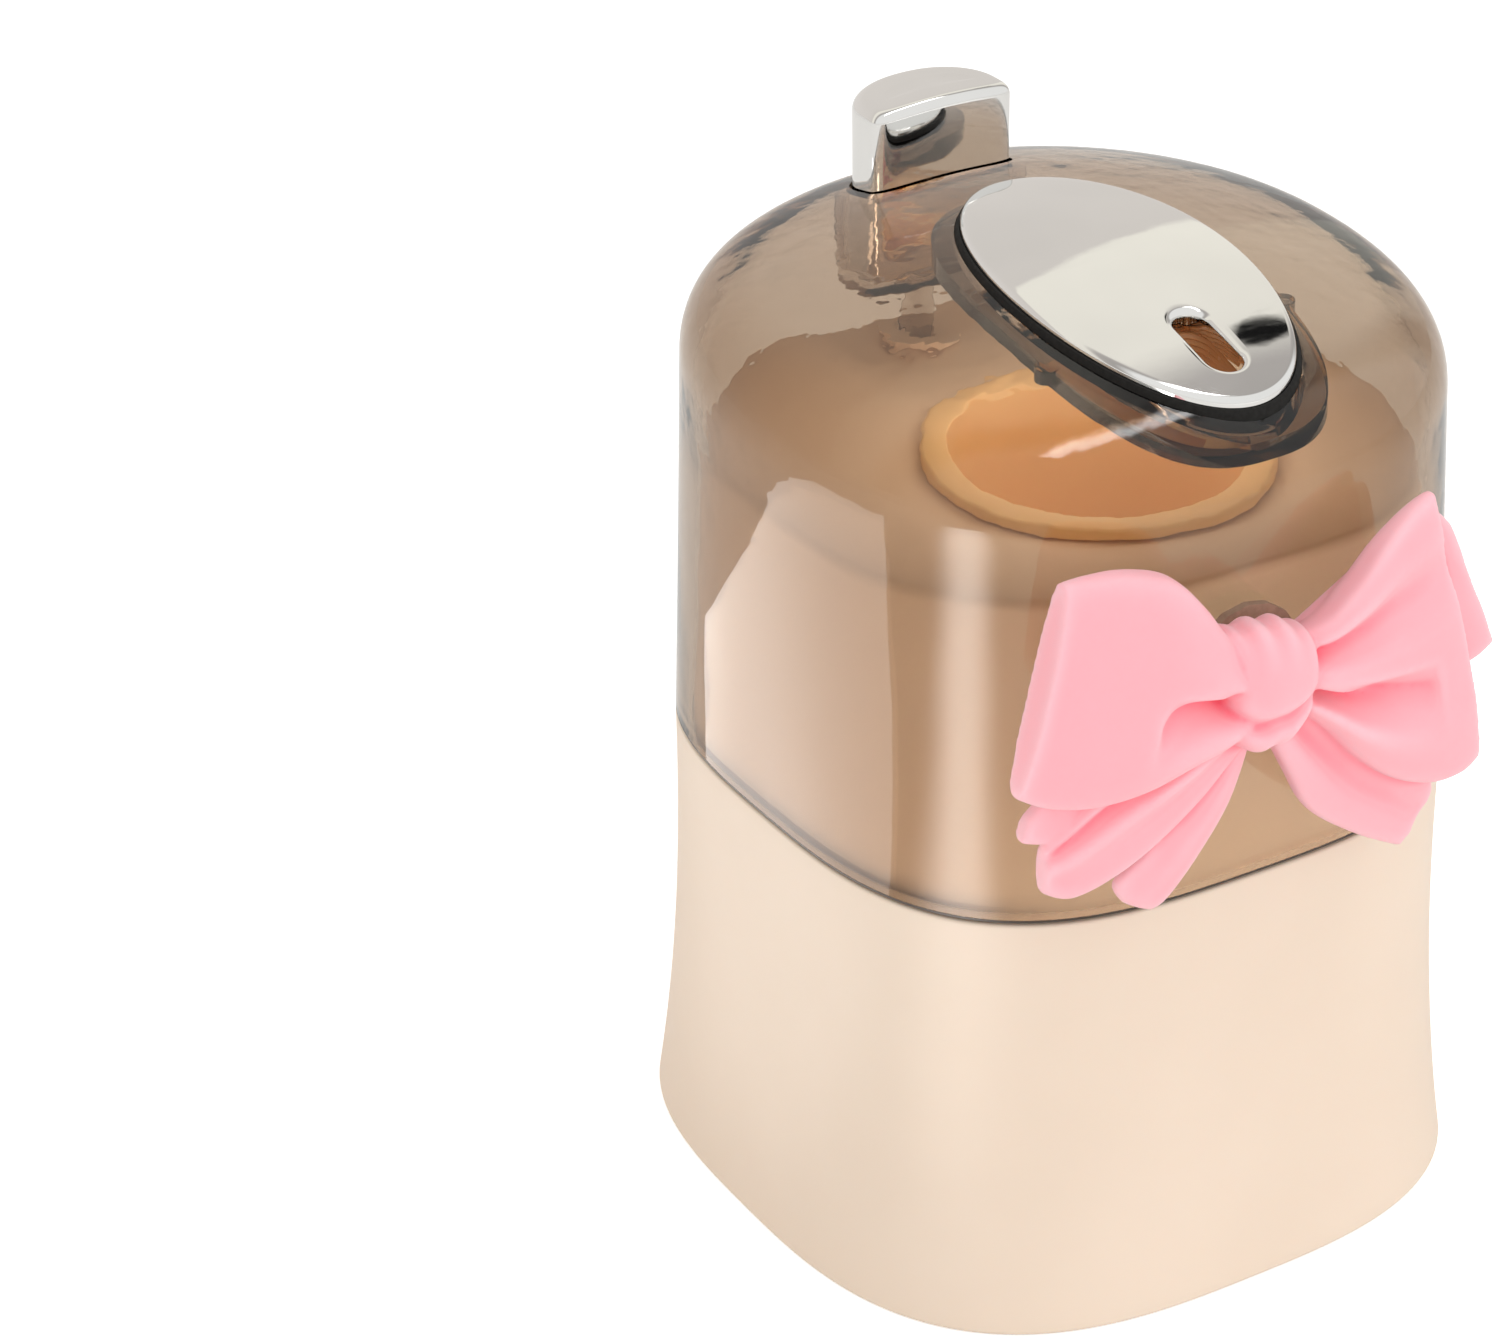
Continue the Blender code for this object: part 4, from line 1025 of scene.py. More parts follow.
@dataclass
class PlateAssembly:
    """The chrome plate with its slot, and the amber guide under it."""

    cover: CoverAssembly
    thickness: float = 0.0022
    lift: float = 0.0014
    edge_round: float = 0.0005
    slot_width: float = 0.0038
    slot_length: float = 0.0086
    slot_y: float = -0.0236
    slot_round: float = 0.0006
    guide_drop: float = 0.0040
    guide_flange: float = 0.0012
    spokes: int = 192

    def slot_point(self, grow: float, angle: float) -> tuple[float, float]:
        """A point on the slot's outline, which has straight sides and round ends."""
        half = self.slot_width / 2 + grow
        straight = (self.slot_length - self.slot_width) / 2
        arc, side = math.pi * half, 2 * straight
        along = (angle % (2 * math.pi)) / (2 * math.pi) * 2 * (arc + side)
        first = along < arc + side
        along = along if first else along - arc - side
        if along < side / 2:
            x, y = half, along
        elif along < side / 2 + arc:
            turn = (along - side / 2) / half
            x, y = half * math.cos(turn), straight + half * math.sin(turn)
        else:
            x, y = -half, straight - (along - side / 2 - arc)
        return (x, self.slot_y + y) if first else (-x, self.slot_y - y)

    def slot_ring(self, grow: float, lift: float) -> Place:
        """A ring along the slot, above the roof's outer face."""
        def place(a: float) -> Vector:
            """The point in one direction."""
            x, y = self.slot_point(grow, a)
            return Vector((x, y, self.cover.roof.height(x, y) + lift))

        return place

    def between_ring(self, share: float, lift: float) -> Place:
        """A ring between the slot and the plate's rounded edge."""
        def place(a: float) -> Vector:
            """The point in one direction."""
            inner_x, inner_y = self.slot_point(self.slot_round, a)
            outer_x = (self.cover.plate_half_width - self.edge_round) * math.cos(a)
            outer_y = self.cover.plate_y + (self.cover.plate_half_length - self.edge_round) * math.sin(a)
            x, y = inner_x + (outer_x - inner_x) * share, inner_y + (outer_y - inner_y) * share
            return Vector((x, y, self.cover.roof.height(x, y) + lift))

        return place

    def build_plate(self, palette: Palette) -> bpy.types.Object:
        """The plate, one skin from the slot's wall over the top, round the edge and back below.

        Args:
            palette: The finishes.

        Returns:
            The piece.
        """
        low = self.lift - self.thickness
        height = self.cover.roof.height
        soft, edge = self.slot_round, self.edge_round
        places = [self.slot_ring(0.0, low), self.slot_ring(0.0, self.lift - soft)]
        places += [
            self.slot_ring(soft * (1 - math.cos(turn)), self.lift - soft * (1 - math.sin(turn))) for turn in quarter(4)
        ]
        places += [self.between_ring(step / 24, self.lift) for step in range(1, 25)]
        places += [
            self.cover.plate_ring(-edge * (1 - math.sin(turn)), height, edge * (1 - math.cos(turn)) - self.lift)
            for turn in quarter(6)
        ]
        places += [self.cover.plate_ring(0.0, height, -low - edge / 2), self.cover.plate_ring(-edge, height, -low)]
        places += [self.between_ring(1 - step / 8, low) for step in range(1, 8)]
        places += [self.slot_ring(soft, low)]
        plate = Shop.mesh_object("slotted_chrome_plate", Loft(self.spokes, places[0]).rings(places[1:]).close().bm)
        return Shop.finish(plate, Body.COVER, Slot.CHROME, palette.chrome, ["chrome_plate"], 60.0)

    def build_guide(self, palette: Palette) -> bpy.types.Object:
        """The guide, with the layered lines of its throat.

        Args:
            palette: The finishes.

        Returns:
            The piece.
        """
        top = self.lift - self.thickness - GAP
        flange, throat, ease = 0.0025, 0.00184, 0.0003
        bottom = top - self.guide_drop
        places = [self.slot_ring(throat, bottom), self.slot_ring(throat, top - self.guide_flange)]
        places += [self.slot_ring(flange, top - self.guide_flange), self.slot_ring(flange, top)]
        places += [self.slot_ring(ease, top)]
        for step in range(1, 13):
            groove = 0.00016 if step % 2 else 0.0
            widen = ease + (throat / 2 - ease) * step / 12
            places.append(self.slot_ring(widen + groove, top - self.guide_drop * (step - 0.35) / 12))
            places.append(self.slot_ring(widen + groove, top - self.guide_drop * step / 12))
        guide = Shop.mesh_object("amber_pick_guide", Loft(96, places[0]).rings(places[1:]).close().bm)
        return Shop.finish(guide, Body.COVER, Slot.AMBER, palette.guide, ["pick_guide"])


@dataclass
class ButtonAssembly:
    """The chrome button and the smoky retainer plugged into it."""

    half_width: float = 0.0083
    flat_y: float = 0.0203
    waist_y: float = 0.0236
    back_y: float = 0.0293
    front_squareness: float = 5.0
    back_squareness: float = 2.3
    top: float = 0.1085
    crown: float = 0.0006
    edge_round: float = 0.0011
    bottom: float = 0.0900
    wall: float = 0.0012
    spokes: int = 128

    def ring(self, grow: float, height: Height) -> Place:
        """A ring along the button's outline, nearly flat in front and rounder behind."""
        def place(a: float) -> Vector:
            """The point in one direction."""
            behind = math.sin(a) >= 0
            squareness = self.back_squareness if behind else self.front_squareness
            depth = self.back_y - self.waist_y if behind else self.waist_y - self.flat_y
            x = (self.half_width + grow) * signed_power(math.cos(a), 2 / squareness)
            y = self.waist_y + (depth + grow) * signed_power(math.sin(a), 2 / squareness)
            return Vector((x, y, height(x, y)))

        return place

    def crowned(self, drop: float) -> Height:
        """The height of the button's crowned top, lowered by a drop."""
        return lambda x, y: self.top - self.crown * (x / self.half_width) ** 2 - drop

    def build_cap(self, palette: Palette) -> bpy.types.Object:
        """The hollow cap with its rounded top edge.

        Args:
            palette: The finishes.

        Returns:
            The piece.
        """
        edge, shallow = self.edge_round, self.waist_y - self.flat_y - self.edge_round
        places = [self.ring(-self.wall, level(self.bottom)), self.ring(-0.0002, level(self.bottom))]
        places += [self.ring(0.0, level(self.bottom + 0.0002))]
        places += [self.ring(0.0, self.crowned(edge + share)) for share in (0.012, 0.008, 0.004, 0.0)]
        places += [
            self.ring(-edge * (1 - math.cos(turn)), self.crowned(edge * (1 - math.sin(turn)))) for turn in quarter(8)
        ]
        places += [self.ring(-edge - shallow * share, self.crowned(0.0)) for share in (0.2, 0.4, 0.6, 0.8, 0.96)]
        outside = Loft(self.spokes, places[0]).rings(places[1:])
        faces = bmesh.ops.edgeloop_fill(outside.bm, edges=outside.edge)["faces"]
        bmesh.ops.poke(outside.bm, faces=faces)
        roof = self.top - self.crown - 0.0018
        outside.edge = outside.first
        outside.rings([self.ring(-self.wall, level(self.bottom + 0.004)), self.ring(-self.wall, level(roof))])
        faces = bmesh.ops.edgeloop_fill(outside.bm, edges=outside.edge)["faces"]
        bmesh.ops.poke(outside.bm, faces=faces)
        cap = Shop.mesh_object("chrome_button", outside.bm)
        return Shop.finish(cap, Body.BUTTON, Slot.CHROME, palette.chrome, ["button_cap"], 50.0)

    def build_retainer(self, palette: Palette) -> bpy.types.Object:
        """The smoky flange under the cap, with a rounded rim.

        Args:
            palette: The finishes.

        Returns:
            The piece.
        """
        top = self.bottom - GAP
        low, rim, neck, edge = top - 0.0015, 0.0014, -self.wall - GAP, 0.0004
        places = [self.ring(rim - edge, level(low))]
        places += [self.ring(rim - edge * (1 - math.sin(turn)), level(low + edge * (1 - math.cos(turn)))) for turn in quarter(4)]
        places += [self.ring(rim, level(top - edge))]
        places += [self.ring(rim - edge * (1 - math.cos(turn)), level(top - edge * (1 - math.sin(turn)))) for turn in quarter(4)]
        places += [self.ring(neck, level(top)), self.ring(neck, level(top + 0.0045))]
        retainer = Shop.mesh_object("button_flange", Loft(96, places[0]).rings(places[1:]).cap().bm)
        return Shop.finish(retainer, Body.BUTTON, Slot.SMOKY, palette.smoke_thin, ["button_retainer"])


@dataclass
class HopperAssembly:
    """The cream hopper inside the cover, with the amber cup in its mouth."""

    cover: CoverAssembly
    deck: float = 0.0800
    deck_thickness: float = 0.0018
    wall: float = 0.0016
    edge_round: float = 0.0012
    foot: float = 0.0030
    slip: float = 0.0005
    mouth_y: float = -0.0065
    bore: float = 0.01459
    cup_wall: float = 0.0012
    lip_width: float = 0.0016
    lip_height: float = 0.0010
    cup_floor: float = 0.0245
    rod_y: float = 0.025424
    bush_radius: float = 0.0030
    lifter_y: float = -0.01829
    lifter_hole: float = 0.0020
    spokes: int = 160

    def ring(self, height: float, inset: float, at: float | None = None) -> Place:
        """A ring on the hopper, its shape taken at one height and its place at another.

        Args:
            height: Where the shape is taken.
            inset: How far inside the outer face.
            at: Where the ring lies, if not at that height.

        Returns:
            The ring's place.
        """
        def place(a: float) -> Vector:
            """The point in one direction."""
            seam = SEAM.reach(a)
            if height <= SEAM_HEIGHT:
                distance = seam - 0.0022 - GAP
            else:
                distance = min(self.cover.reach(a, height), seam) - self.cover.wall - self.slip
            distance -= inset
            return Vector((distance * math.cos(a), distance * math.sin(a), height if at is None else at))

        return place

    def build_box(self, palette: Palette) -> bpy.types.Object:
        """The box with its flat deck, round mouth and bush hole.

        Args:
            palette: The finishes.

        Returns:
            The piece.
        """
        side_top = self.deck - self.edge_round
        start = SEAM_HEIGHT + self.slip
        places = [self.ring(self.foot, 0.0), self.ring(SEAM_HEIGHT, 0.0)]
        places += [self.ring(start + (side_top - start) * step / 8, 0.0) for step in range(9)]
        for turn in quarter(6):
            inset = self.edge_round * (1 - math.cos(turn))
            places.append(self.ring(side_top, inset, side_top + self.edge_round * math.sin(turn)))
        box = Shop.mesh_object("cream_hopper", Loft(self.spokes, places[0]).rings(places[1:]).cap().bm)
        ceiling = self.deck - self.deck_thickness
        hollow = [self.ring(self.foot, self.wall, self.foot - 0.004), self.ring(SEAM_HEIGHT, self.wall)]
        hollow += [self.ring(start, self.wall), self.ring(ceiling, self.wall)]
        hollow_loft = Loft(self.spokes, hollow[0]).rings(hollow[1:]).cap()
        mouth = self.bore + self.cup_wall + GAP
        ends = (ceiling - 0.004, self.deck + 0.004)
        Shop.work(box, [
            (Joining.CUT, hollow_loft.bm),
            (Joining.CUT, turned([(mouth, end) for end in ends], 0.0, self.mouth_y, 96).bm),
            (Joining.CUT, turned([(self.bush_radius + GAP, end) for end in ends], 0.0, self.rod_y, 48).bm),
        ])
        return Shop.finish(box, Body.BASE, Slot.CREAM, palette.hopper, ["hopper_box"])

    def build_cup(self, palette: Palette) -> bpy.types.Object:
        """The amber cup with its rounded lip.

        Args:
            palette: The finishes.

        Returns:
            The piece.
        """
        bore, outside = self.bore, self.bore + self.cup_wall
        low, high = self.deck + GAP, self.deck + GAP + self.lip_height
        lip, edge = outside + self.lip_width, 0.0004
        under = self.cup_floor - 0.0014
        profile = [(self.lifter_hole * 0 + 0.0004, under), (outside - 0.001, under), (outside, under + 0.001)]
        profile += [(outside, low), (lip, low)]
        profile += [(lip - edge * (1 - math.cos(turn)), high - edge * (1 - math.sin(turn))) for turn in quarter(5)]
        profile += [(bore + edge * (1 - math.sin(turn)), high - edge * (1 - math.cos(turn))) for turn in quarter(5)]
        profile += [(bore, self.cup_floor + (high - self.cup_floor) * share) for share in (0.66, 0.33, 0.04)]
        profile += [(bore - 0.001, self.cup_floor), (0.0004, self.cup_floor)]
        cup = Shop.mesh_object("amber_cup", turned(profile, 0.0, self.mouth_y, 128).bm)
        hole = turned(((self.lifter_hole, under - 0.004), (self.lifter_hole, self.cup_floor + 0.004)), 0.0, self.lifter_y, 48)
        Shop.work(cup, [(Joining.CUT, hole.bm)])
        return Shop.finish(cup, Body.BASE, Slot.AMBER, palette.amber, ["toothpick_cup"])


@dataclass
class Mechanism:
    """The rocker, its frame, the push rod with its spring and the lifter."""

    rod_y: float = 0.025424
    rod_radius: float = 0.0016
    spring_foot: float = 0.0311
    spring_head: float = 0.0467
    spring_radius: float = 0.0033
    wire: float = 0.00035
    turns: int = 7
    travel: float = 0.00525

    def build_spring(self, palette: Palette) -> bpy.types.Object:
        """The return spring as a smooth wire swept by a screw step of spin.

        Args:
            palette: The finishes.

        Returns:
            The piece.
        """
        bm = bmesh.new()
        made = bmesh.ops.create_circle(bm, segments=12, radius=self.wire, cap_ends=False)
        bmesh.ops.rotate(bm, matrix=Matrix.Rotation(math.pi / 2, 3, "X"), verts=made["verts"])
        start = Vector((self.spring_radius, self.rod_y, self.spring_foot + self.wire))
        bmesh.ops.translate(bm, vec=start, verts=made["verts"])
        rise = self.spring_head - self.spring_foot - 2 * self.wire
        steps = self.turns * 28
        bmesh.ops.spin(
            bm, geom=bm.edges[:], cent=(0.0, self.rod_y, 0.0), axis=(0.0, 0.0, 1.0),
            dvec=(0.0, 0.0, rise / steps), angle=2 * math.pi * self.turns, steps=steps, use_merge=False,
        )
        bmesh.ops.holes_fill(bm, edges=[edge for edge in bm.edges if edge.is_boundary], sides=16)
        spring = Shop.mesh_object("rod_return_spring", bm)
        Shop.finish(spring, Body.PUSH_ROD, Slot.STEEL, palette.steel, ["return_spring"])
        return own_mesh(spring)

    def dress(self, palette: Palette) -> None:
        """Dress the CAD solids of the mechanism.

        Args:
            palette: The finishes.
        """
        whites = ("pick_ramp", "lever_frame", "rod_collar", "rocker_lever", "lifter_pin", "lifter_cap")
        for name in whites:
            Shop.dress_node(name, palette.white)
        for name in ("pivot_pin", "spring_washer"):
            Shop.dress_node(name, palette.steel)
        Shop.dress_node("rod_bush", palette.hopper)
        Shop.dress_node("push_rod", palette.smoke_thin)


@dataclass(frozen=True)
class Section:
    """One section of a lobe of the bow, between a lower and an upper point on the bow's face.

    Places are shares of the bow's half width and half height from the knot, depths are shares of its depth.
    """

    low_u: float
    low_v: float
    high_u: float
    high_v: float
    back: float
    front: float


@dataclass(frozen=True)
class Fold:
    """A crease along a lobe's front: where it runs across the section, how deep, wide and long it is."""

    start: float
    end: float
    depth: float
    width: float
    length: float
    taper: float = 1.0
    lip: float = 1.0

    def at(self, along: float, across: float) -> float:
        """How deep the crease is at a place of the lobe."""
        middle = self.start + (self.end - self.start) * along
        fade = max(0.0, 1 - along / self.length) ** self.taper
        width = self.width * (self.lip if across > middle else 1.0)
        return self.depth * fade * math.exp(-(((across - middle) / width) ** 2))


@dataclass(frozen=True)
class Lobe:
    """A loop or tail of the bow."""

    name: str
    sections: tuple[Section, ...]
    folds: tuple[Fold, ...] = ()
    corner: float = 0.5
    puff: float = 0.0

    def section(self, share: float) -> Section:
        """The section at a share of the lobe's length, on a smooth curve through the given ones."""
        last = len(self.sections) - 1
        spot = min(max(share, 0.0), 1.0) * last
        number = min(int(spot), last - 1)
        t = spot - number
        near = [self.sections[min(max(number + step, 0), last)] for step in (-1, 0, 1, 2)]

        def curve(name: str) -> float:
            """One of the section's numbers on the curve."""
            a, b, c, d = (getattr(each, name) for each in near)
            return 0.5 * (2 * b + (c - a) * t + (2 * a - 5 * b + 4 * c - d) * t * t + (3 * b - a - 3 * c + d) * t ** 3)

        return Section(*(curve(name) for name in ("low_u", "low_v", "high_u", "high_v", "back", "front")))


LEFT_LOOP = Lobe("left_loop", (
    Section(-0.06, -0.12, -0.08, 0.18, 0.25, 0.80),
    Section(-0.20, -0.20, -0.21, 0.32, 0.20, 1.00),
    Section(-0.37, -0.24, -0.32, 0.51, 0.15, 1.12),
    Section(-0.54, -0.29, -0.43, 0.66, 0.15, 1.12),
    Section(-0.72, -0.30, -0.58, 0.735, 0.18, 1.00),
    Section(-0.88, -0.25, -0.71, 0.755, 0.20, 0.86),
    Section(-0.99, -0.17, -0.82, 0.755, 0.25, 0.70),
), (
    Fold(0.02, -0.50, 1.00, 0.30, 0.52, 0.5, 0.25),
    Fold(0.30, 0.10, -0.10, 0.35, 0.9),
    Fold(-0.75, -0.80, -0.10, 0.22, 0.8),
), 0.55, 0.10)
RIGHT_LOOP = Lobe("right_loop", (
    Section(0.06, -0.12, 0.06, 0.18, 0.25, 0.80),
    Section(0.20, -0.28, 0.19, 0.23, 0.20, 1.00),
    Section(0.34, -0.48, 0.31, 0.36, 0.15, 1.05),
    Section(0.50, -0.655, 0.41, 0.50, 0.15, 1.02),
    Section(0.68, -0.765, 0.50, 0.59, 0.18, 0.92),
    Section(0.83, -0.785, 0.58, 0.64, 0.20, 0.80),
    Section(0.92, -0.745, 0.64, 0.66, 0.25, 0.66),
), (
    Fold(-0.32, -0.05, 0.95, 0.26, 0.72, 0.6, 0.20),
    Fold(0.48, 0.50, 0.46, 0.20, 1.30, 0.7),
    Fold(0.92, 0.84, 0.16, 0.14, 1.30, 0.7),
    Fold(-0.62, -0.52, -0.16, 0.20, 1.2),
), 0.55, 0.08)
LEFT_TAIL = Lobe("left_tail", (
    Section(-0.04, -0.22, -0.12, -0.10, 0.15, 0.60),
    Section(-0.26, -0.50, -0.38, -0.20, 0.10, 0.62),
    Section(-0.50, -0.705, -0.60, -0.28, 0.08, 0.58),
    Section(-0.72, -0.79, -0.76, -0.42, 0.06, 0.50),
    Section(-0.84, -0.73, -0.84, -0.52, 0.06, 0.40),
), (
    Fold(0.30, 0.15, -0.14, 0.25, 1.6),
    Fold(0.55, 0.62, 0.24, 0.14, 1.6, 0.5),
), 0.6)
LEFT_TIP = Lobe("left_tip", (
    Section(-0.50, -0.40, -0.56, -0.24, 0.08, 0.36),
    Section(-0.76, -0.50, -0.80, -0.26, 0.06, 0.40),
    Section(-0.925, -0.455, -0.90, -0.34, 0.06, 0.34),
), (), 0.6)
UNDER_TAIL = Lobe("under_tail", (
    Section(-0.01, -0.24, -0.08, -0.14, 0.05, 0.38),
    Section(-0.10, -0.56, -0.24, -0.44, 0.04, 0.44),
    Section(-0.22, -0.80, -0.42, -0.68, 0.04, 0.42),
    Section(-0.33, -0.98, -0.54, -0.82, 0.04, 0.34),
    Section(-0.385, -1.025, -0.50, -0.94, 0.04, 0.24),
), (Fold(0.0, 0.0, -0.08, 0.4, 1.6),), 0.6)
RIGHT_TAIL = Lobe("right_tail", (
    Section(0.01, -0.26, 0.12, -0.10, 0.15, 0.60),
    Section(0.11, -0.51, 0.32, -0.34, 0.10, 0.60),
    Section(0.22, -0.75, 0.54, -0.58, 0.08, 0.58),
    Section(0.43, -0.965, 0.72, -0.76, 0.06, 0.50),
    Section(0.64, -1.13, 0.77, -0.88, 0.05, 0.36),
), (Fold(0.0, 0.1, 0.16, 0.3, 1.3),), 0.6)
BACK_TIP = Lobe("back_tip", (
    Section(0.10, -0.06, 0.10, 0.14, 0.06, 0.34),
    Section(0.50, -0.20, 0.40, 0.36, 0.04, 0.36),
    Section(0.86, -0.30, 0.66, 0.52, 0.04, 0.36),
    Section(1.01, -0.25, 0.78, 0.42, 0.06, 0.26),
), (Fold(0.2, 0.1, 0.10, 0.3, 1.6),), 0.6)
KNOT = Lobe("knot", (
    Section(-0.205, -0.10, -0.235, 0.22, 0.10, 0.88),
    Section(-0.18, -0.19, -0.20, 0.335, 0.05, 1.12),
    Section(-0.14, -0.24, -0.15, 0.315, 0.05, 1.20),
    Section(-0.09, -0.28, -0.10, 0.345, 0.05, 1.25),
    Section(-0.04, -0.26, -0.05, 0.305, 0.05, 1.27),
    Section(0.01, -0.27, 0.00, 0.32, 0.05, 1.25),
    Section(0.06, -0.22, 0.05, 0.265, 0.05, 1.20),
    Section(0.10, -0.17, 0.10, 0.245, 0.05, 1.10),
    Section(0.135, -0.10, 0.145, 0.12, 0.10, 0.85),
), (
    Fold(-0.55, -0.35, 0.30, 0.15, 1.2, 0.4),
), 0.8)


@dataclass
class BowAssembly:
    """The soft pink bow, glued to the cover's front by a pad."""

    cover: CoverAssembly
    x: float = -0.0045
    z: float = 0.0725
    half_width: float = 0.0285
    half_height: float = 0.0220
    depth: float = 0.0062
    gap_to_cover: float = 0.0014
    voxel: float = 0.00030
    spokes: int = 128
    steps: int = 64

    def back(self) -> float:
        """The Y of the bow's back face."""
        return -(self.cover.reach(-math.pi / 2, self.z + self.half_height) + self.gap_to_cover)

    def lobe(self, lobe: Lobe) -> bmesh.types.BMesh:
        """A lobe as a closed mesh with its creases.

        Args:
            lobe: The lobe.

        Returns:
            The mesh.
        """
        back = self.back()

        def ring(share: float, shrink: float) -> Place:
            """The ring at a share of the lobe's length, drawn in to round its end."""
            cut = lobe.section(share)
            low = Vector((cut.low_u * self.half_width, cut.low_v * self.half_height))
            high = Vector((cut.high_u * self.half_width, cut.high_v * self.half_height))
            centre, half = (low + high) / 2, (high - low) / 2
            trim = 1 - shrink * 0.0006 / max(half.length, 0.001)
            middle = (cut.back + cut.front) / 2
            thick = (cut.front - cut.back) / 2 * (1 - 0.5 * shrink)

            def place(a: float) -> Vector:
                """The point round the section."""
                across = signed_power(math.cos(a), lobe.corner)
                out = signed_power(math.sin(a), lobe.corner)
                depth = middle + thick * out
                if out > 0:
                    crease = sum(fold.at(share, across) for fold in lobe.folds)
                    depth += (lobe.puff * (1 - across ** 2) - crease) * out
                spot = centre + half * across * trim
                return Vector((self.x + spot.x, back - max(depth, 0.05) * self.depth, self.z + spot.y))

            return place

        places = [ring(step / self.steps, 0.0) for step in range(self.steps)]
        places += [ring(1.0, share) for share in (0.0, 0.15, 0.4, 0.8, 1.3)]
        loft = Loft(self.spokes, places[0]).rings(places[1:]).cap()
        return loft.bm

    def build_bow(self, palette: Palette) -> bpy.types.Object:
        """The bow, its lobes merged and softened into one moulding.

        Args:
            palette: The finishes.

        Returns:
            The piece.
        """
        lobes = (LEFT_LOOP, RIGHT_LOOP, LEFT_TAIL, LEFT_TIP, UNDER_TAIL, RIGHT_TAIL, BACK_TIP, KNOT)
        joined = bmesh.new()
        for lobe in lobes:
            bm = self.lobe(lobe)
            bmesh.ops.recalc_face_normals(bm, faces=bm.faces)
            part = bpy.data.meshes.new(lobe.name)
            bm.to_mesh(part)
            bm.free()
            joined.from_mesh(part)
            bpy.data.meshes.remove(part)
        bow = Shop.mesh_object("silicone_bow", joined)
        remesh = bow.modifiers.new("merge", "REMESH")
        remesh.mode = "VOXEL"
        remesh.voxel_size = self.voxel
        Shop.bake(bow)
        self.soften(bow, 4)
        self.mark_hollows_for_painted_shading(bow)
        return Shop.finish(bow, Body.COVER, Slot.PINK, palette.pink, ["bow"], 80.0)

    def soften(self, obj: bpy.types.Object, rounds: int) -> None:
        """Smooth a mesh a little, as the mould's rounded edges do.

        Args:
            obj: The piece.
            rounds: How many rounds of smoothing it gets.
        """
        bm = bmesh.new()
        bm.from_mesh(obj.data)
        for _ in range(rounds):
            bmesh.ops.smooth_vert(
                bm, verts=bm.verts, factor=0.5, use_axis_x=True, use_axis_y=True, use_axis_z=True,
            )
        bm.to_mesh(obj.data)
        bm.free()

    def mark_hollows_for_painted_shading(self, obj: bpy.types.Object) -> None:
        """Store how hollow the surface is at each point, for the material to paint shade into the hollows and a
        highlight onto the ridges.

        Args:
            obj: The piece.
        """
        bm = bmesh.new()
        bm.from_mesh(obj.data)
        bm.normal_update()
        places = [vert.co.copy() for vert in bm.verts]
        normals = [vert.normal.copy() for vert in bm.verts]
        for _ in range(50):
            bmesh.ops.smooth_vert(
                bm, verts=bm.verts, factor=0.5, use_axis_x=True, use_axis_y=True, use_axis_z=True,
            )
        shares = [
            0.5 + (vert.co - place).dot(normal) / 0.0008
            for vert, place, normal in zip(bm.verts, places, normals)
        ]
        bm.free()
        attribute = obj.data.attributes.new("hollow", "FLOAT", "POINT")
        attribute.data.foreach_set("value", [min(max(share, 0.0), 1.0) for share in shares])

    def dress(self, palette: Palette) -> None:
        """Dress the glue pad behind the knot."""
        Shop.dress_node("bow_pad", palette.foam)


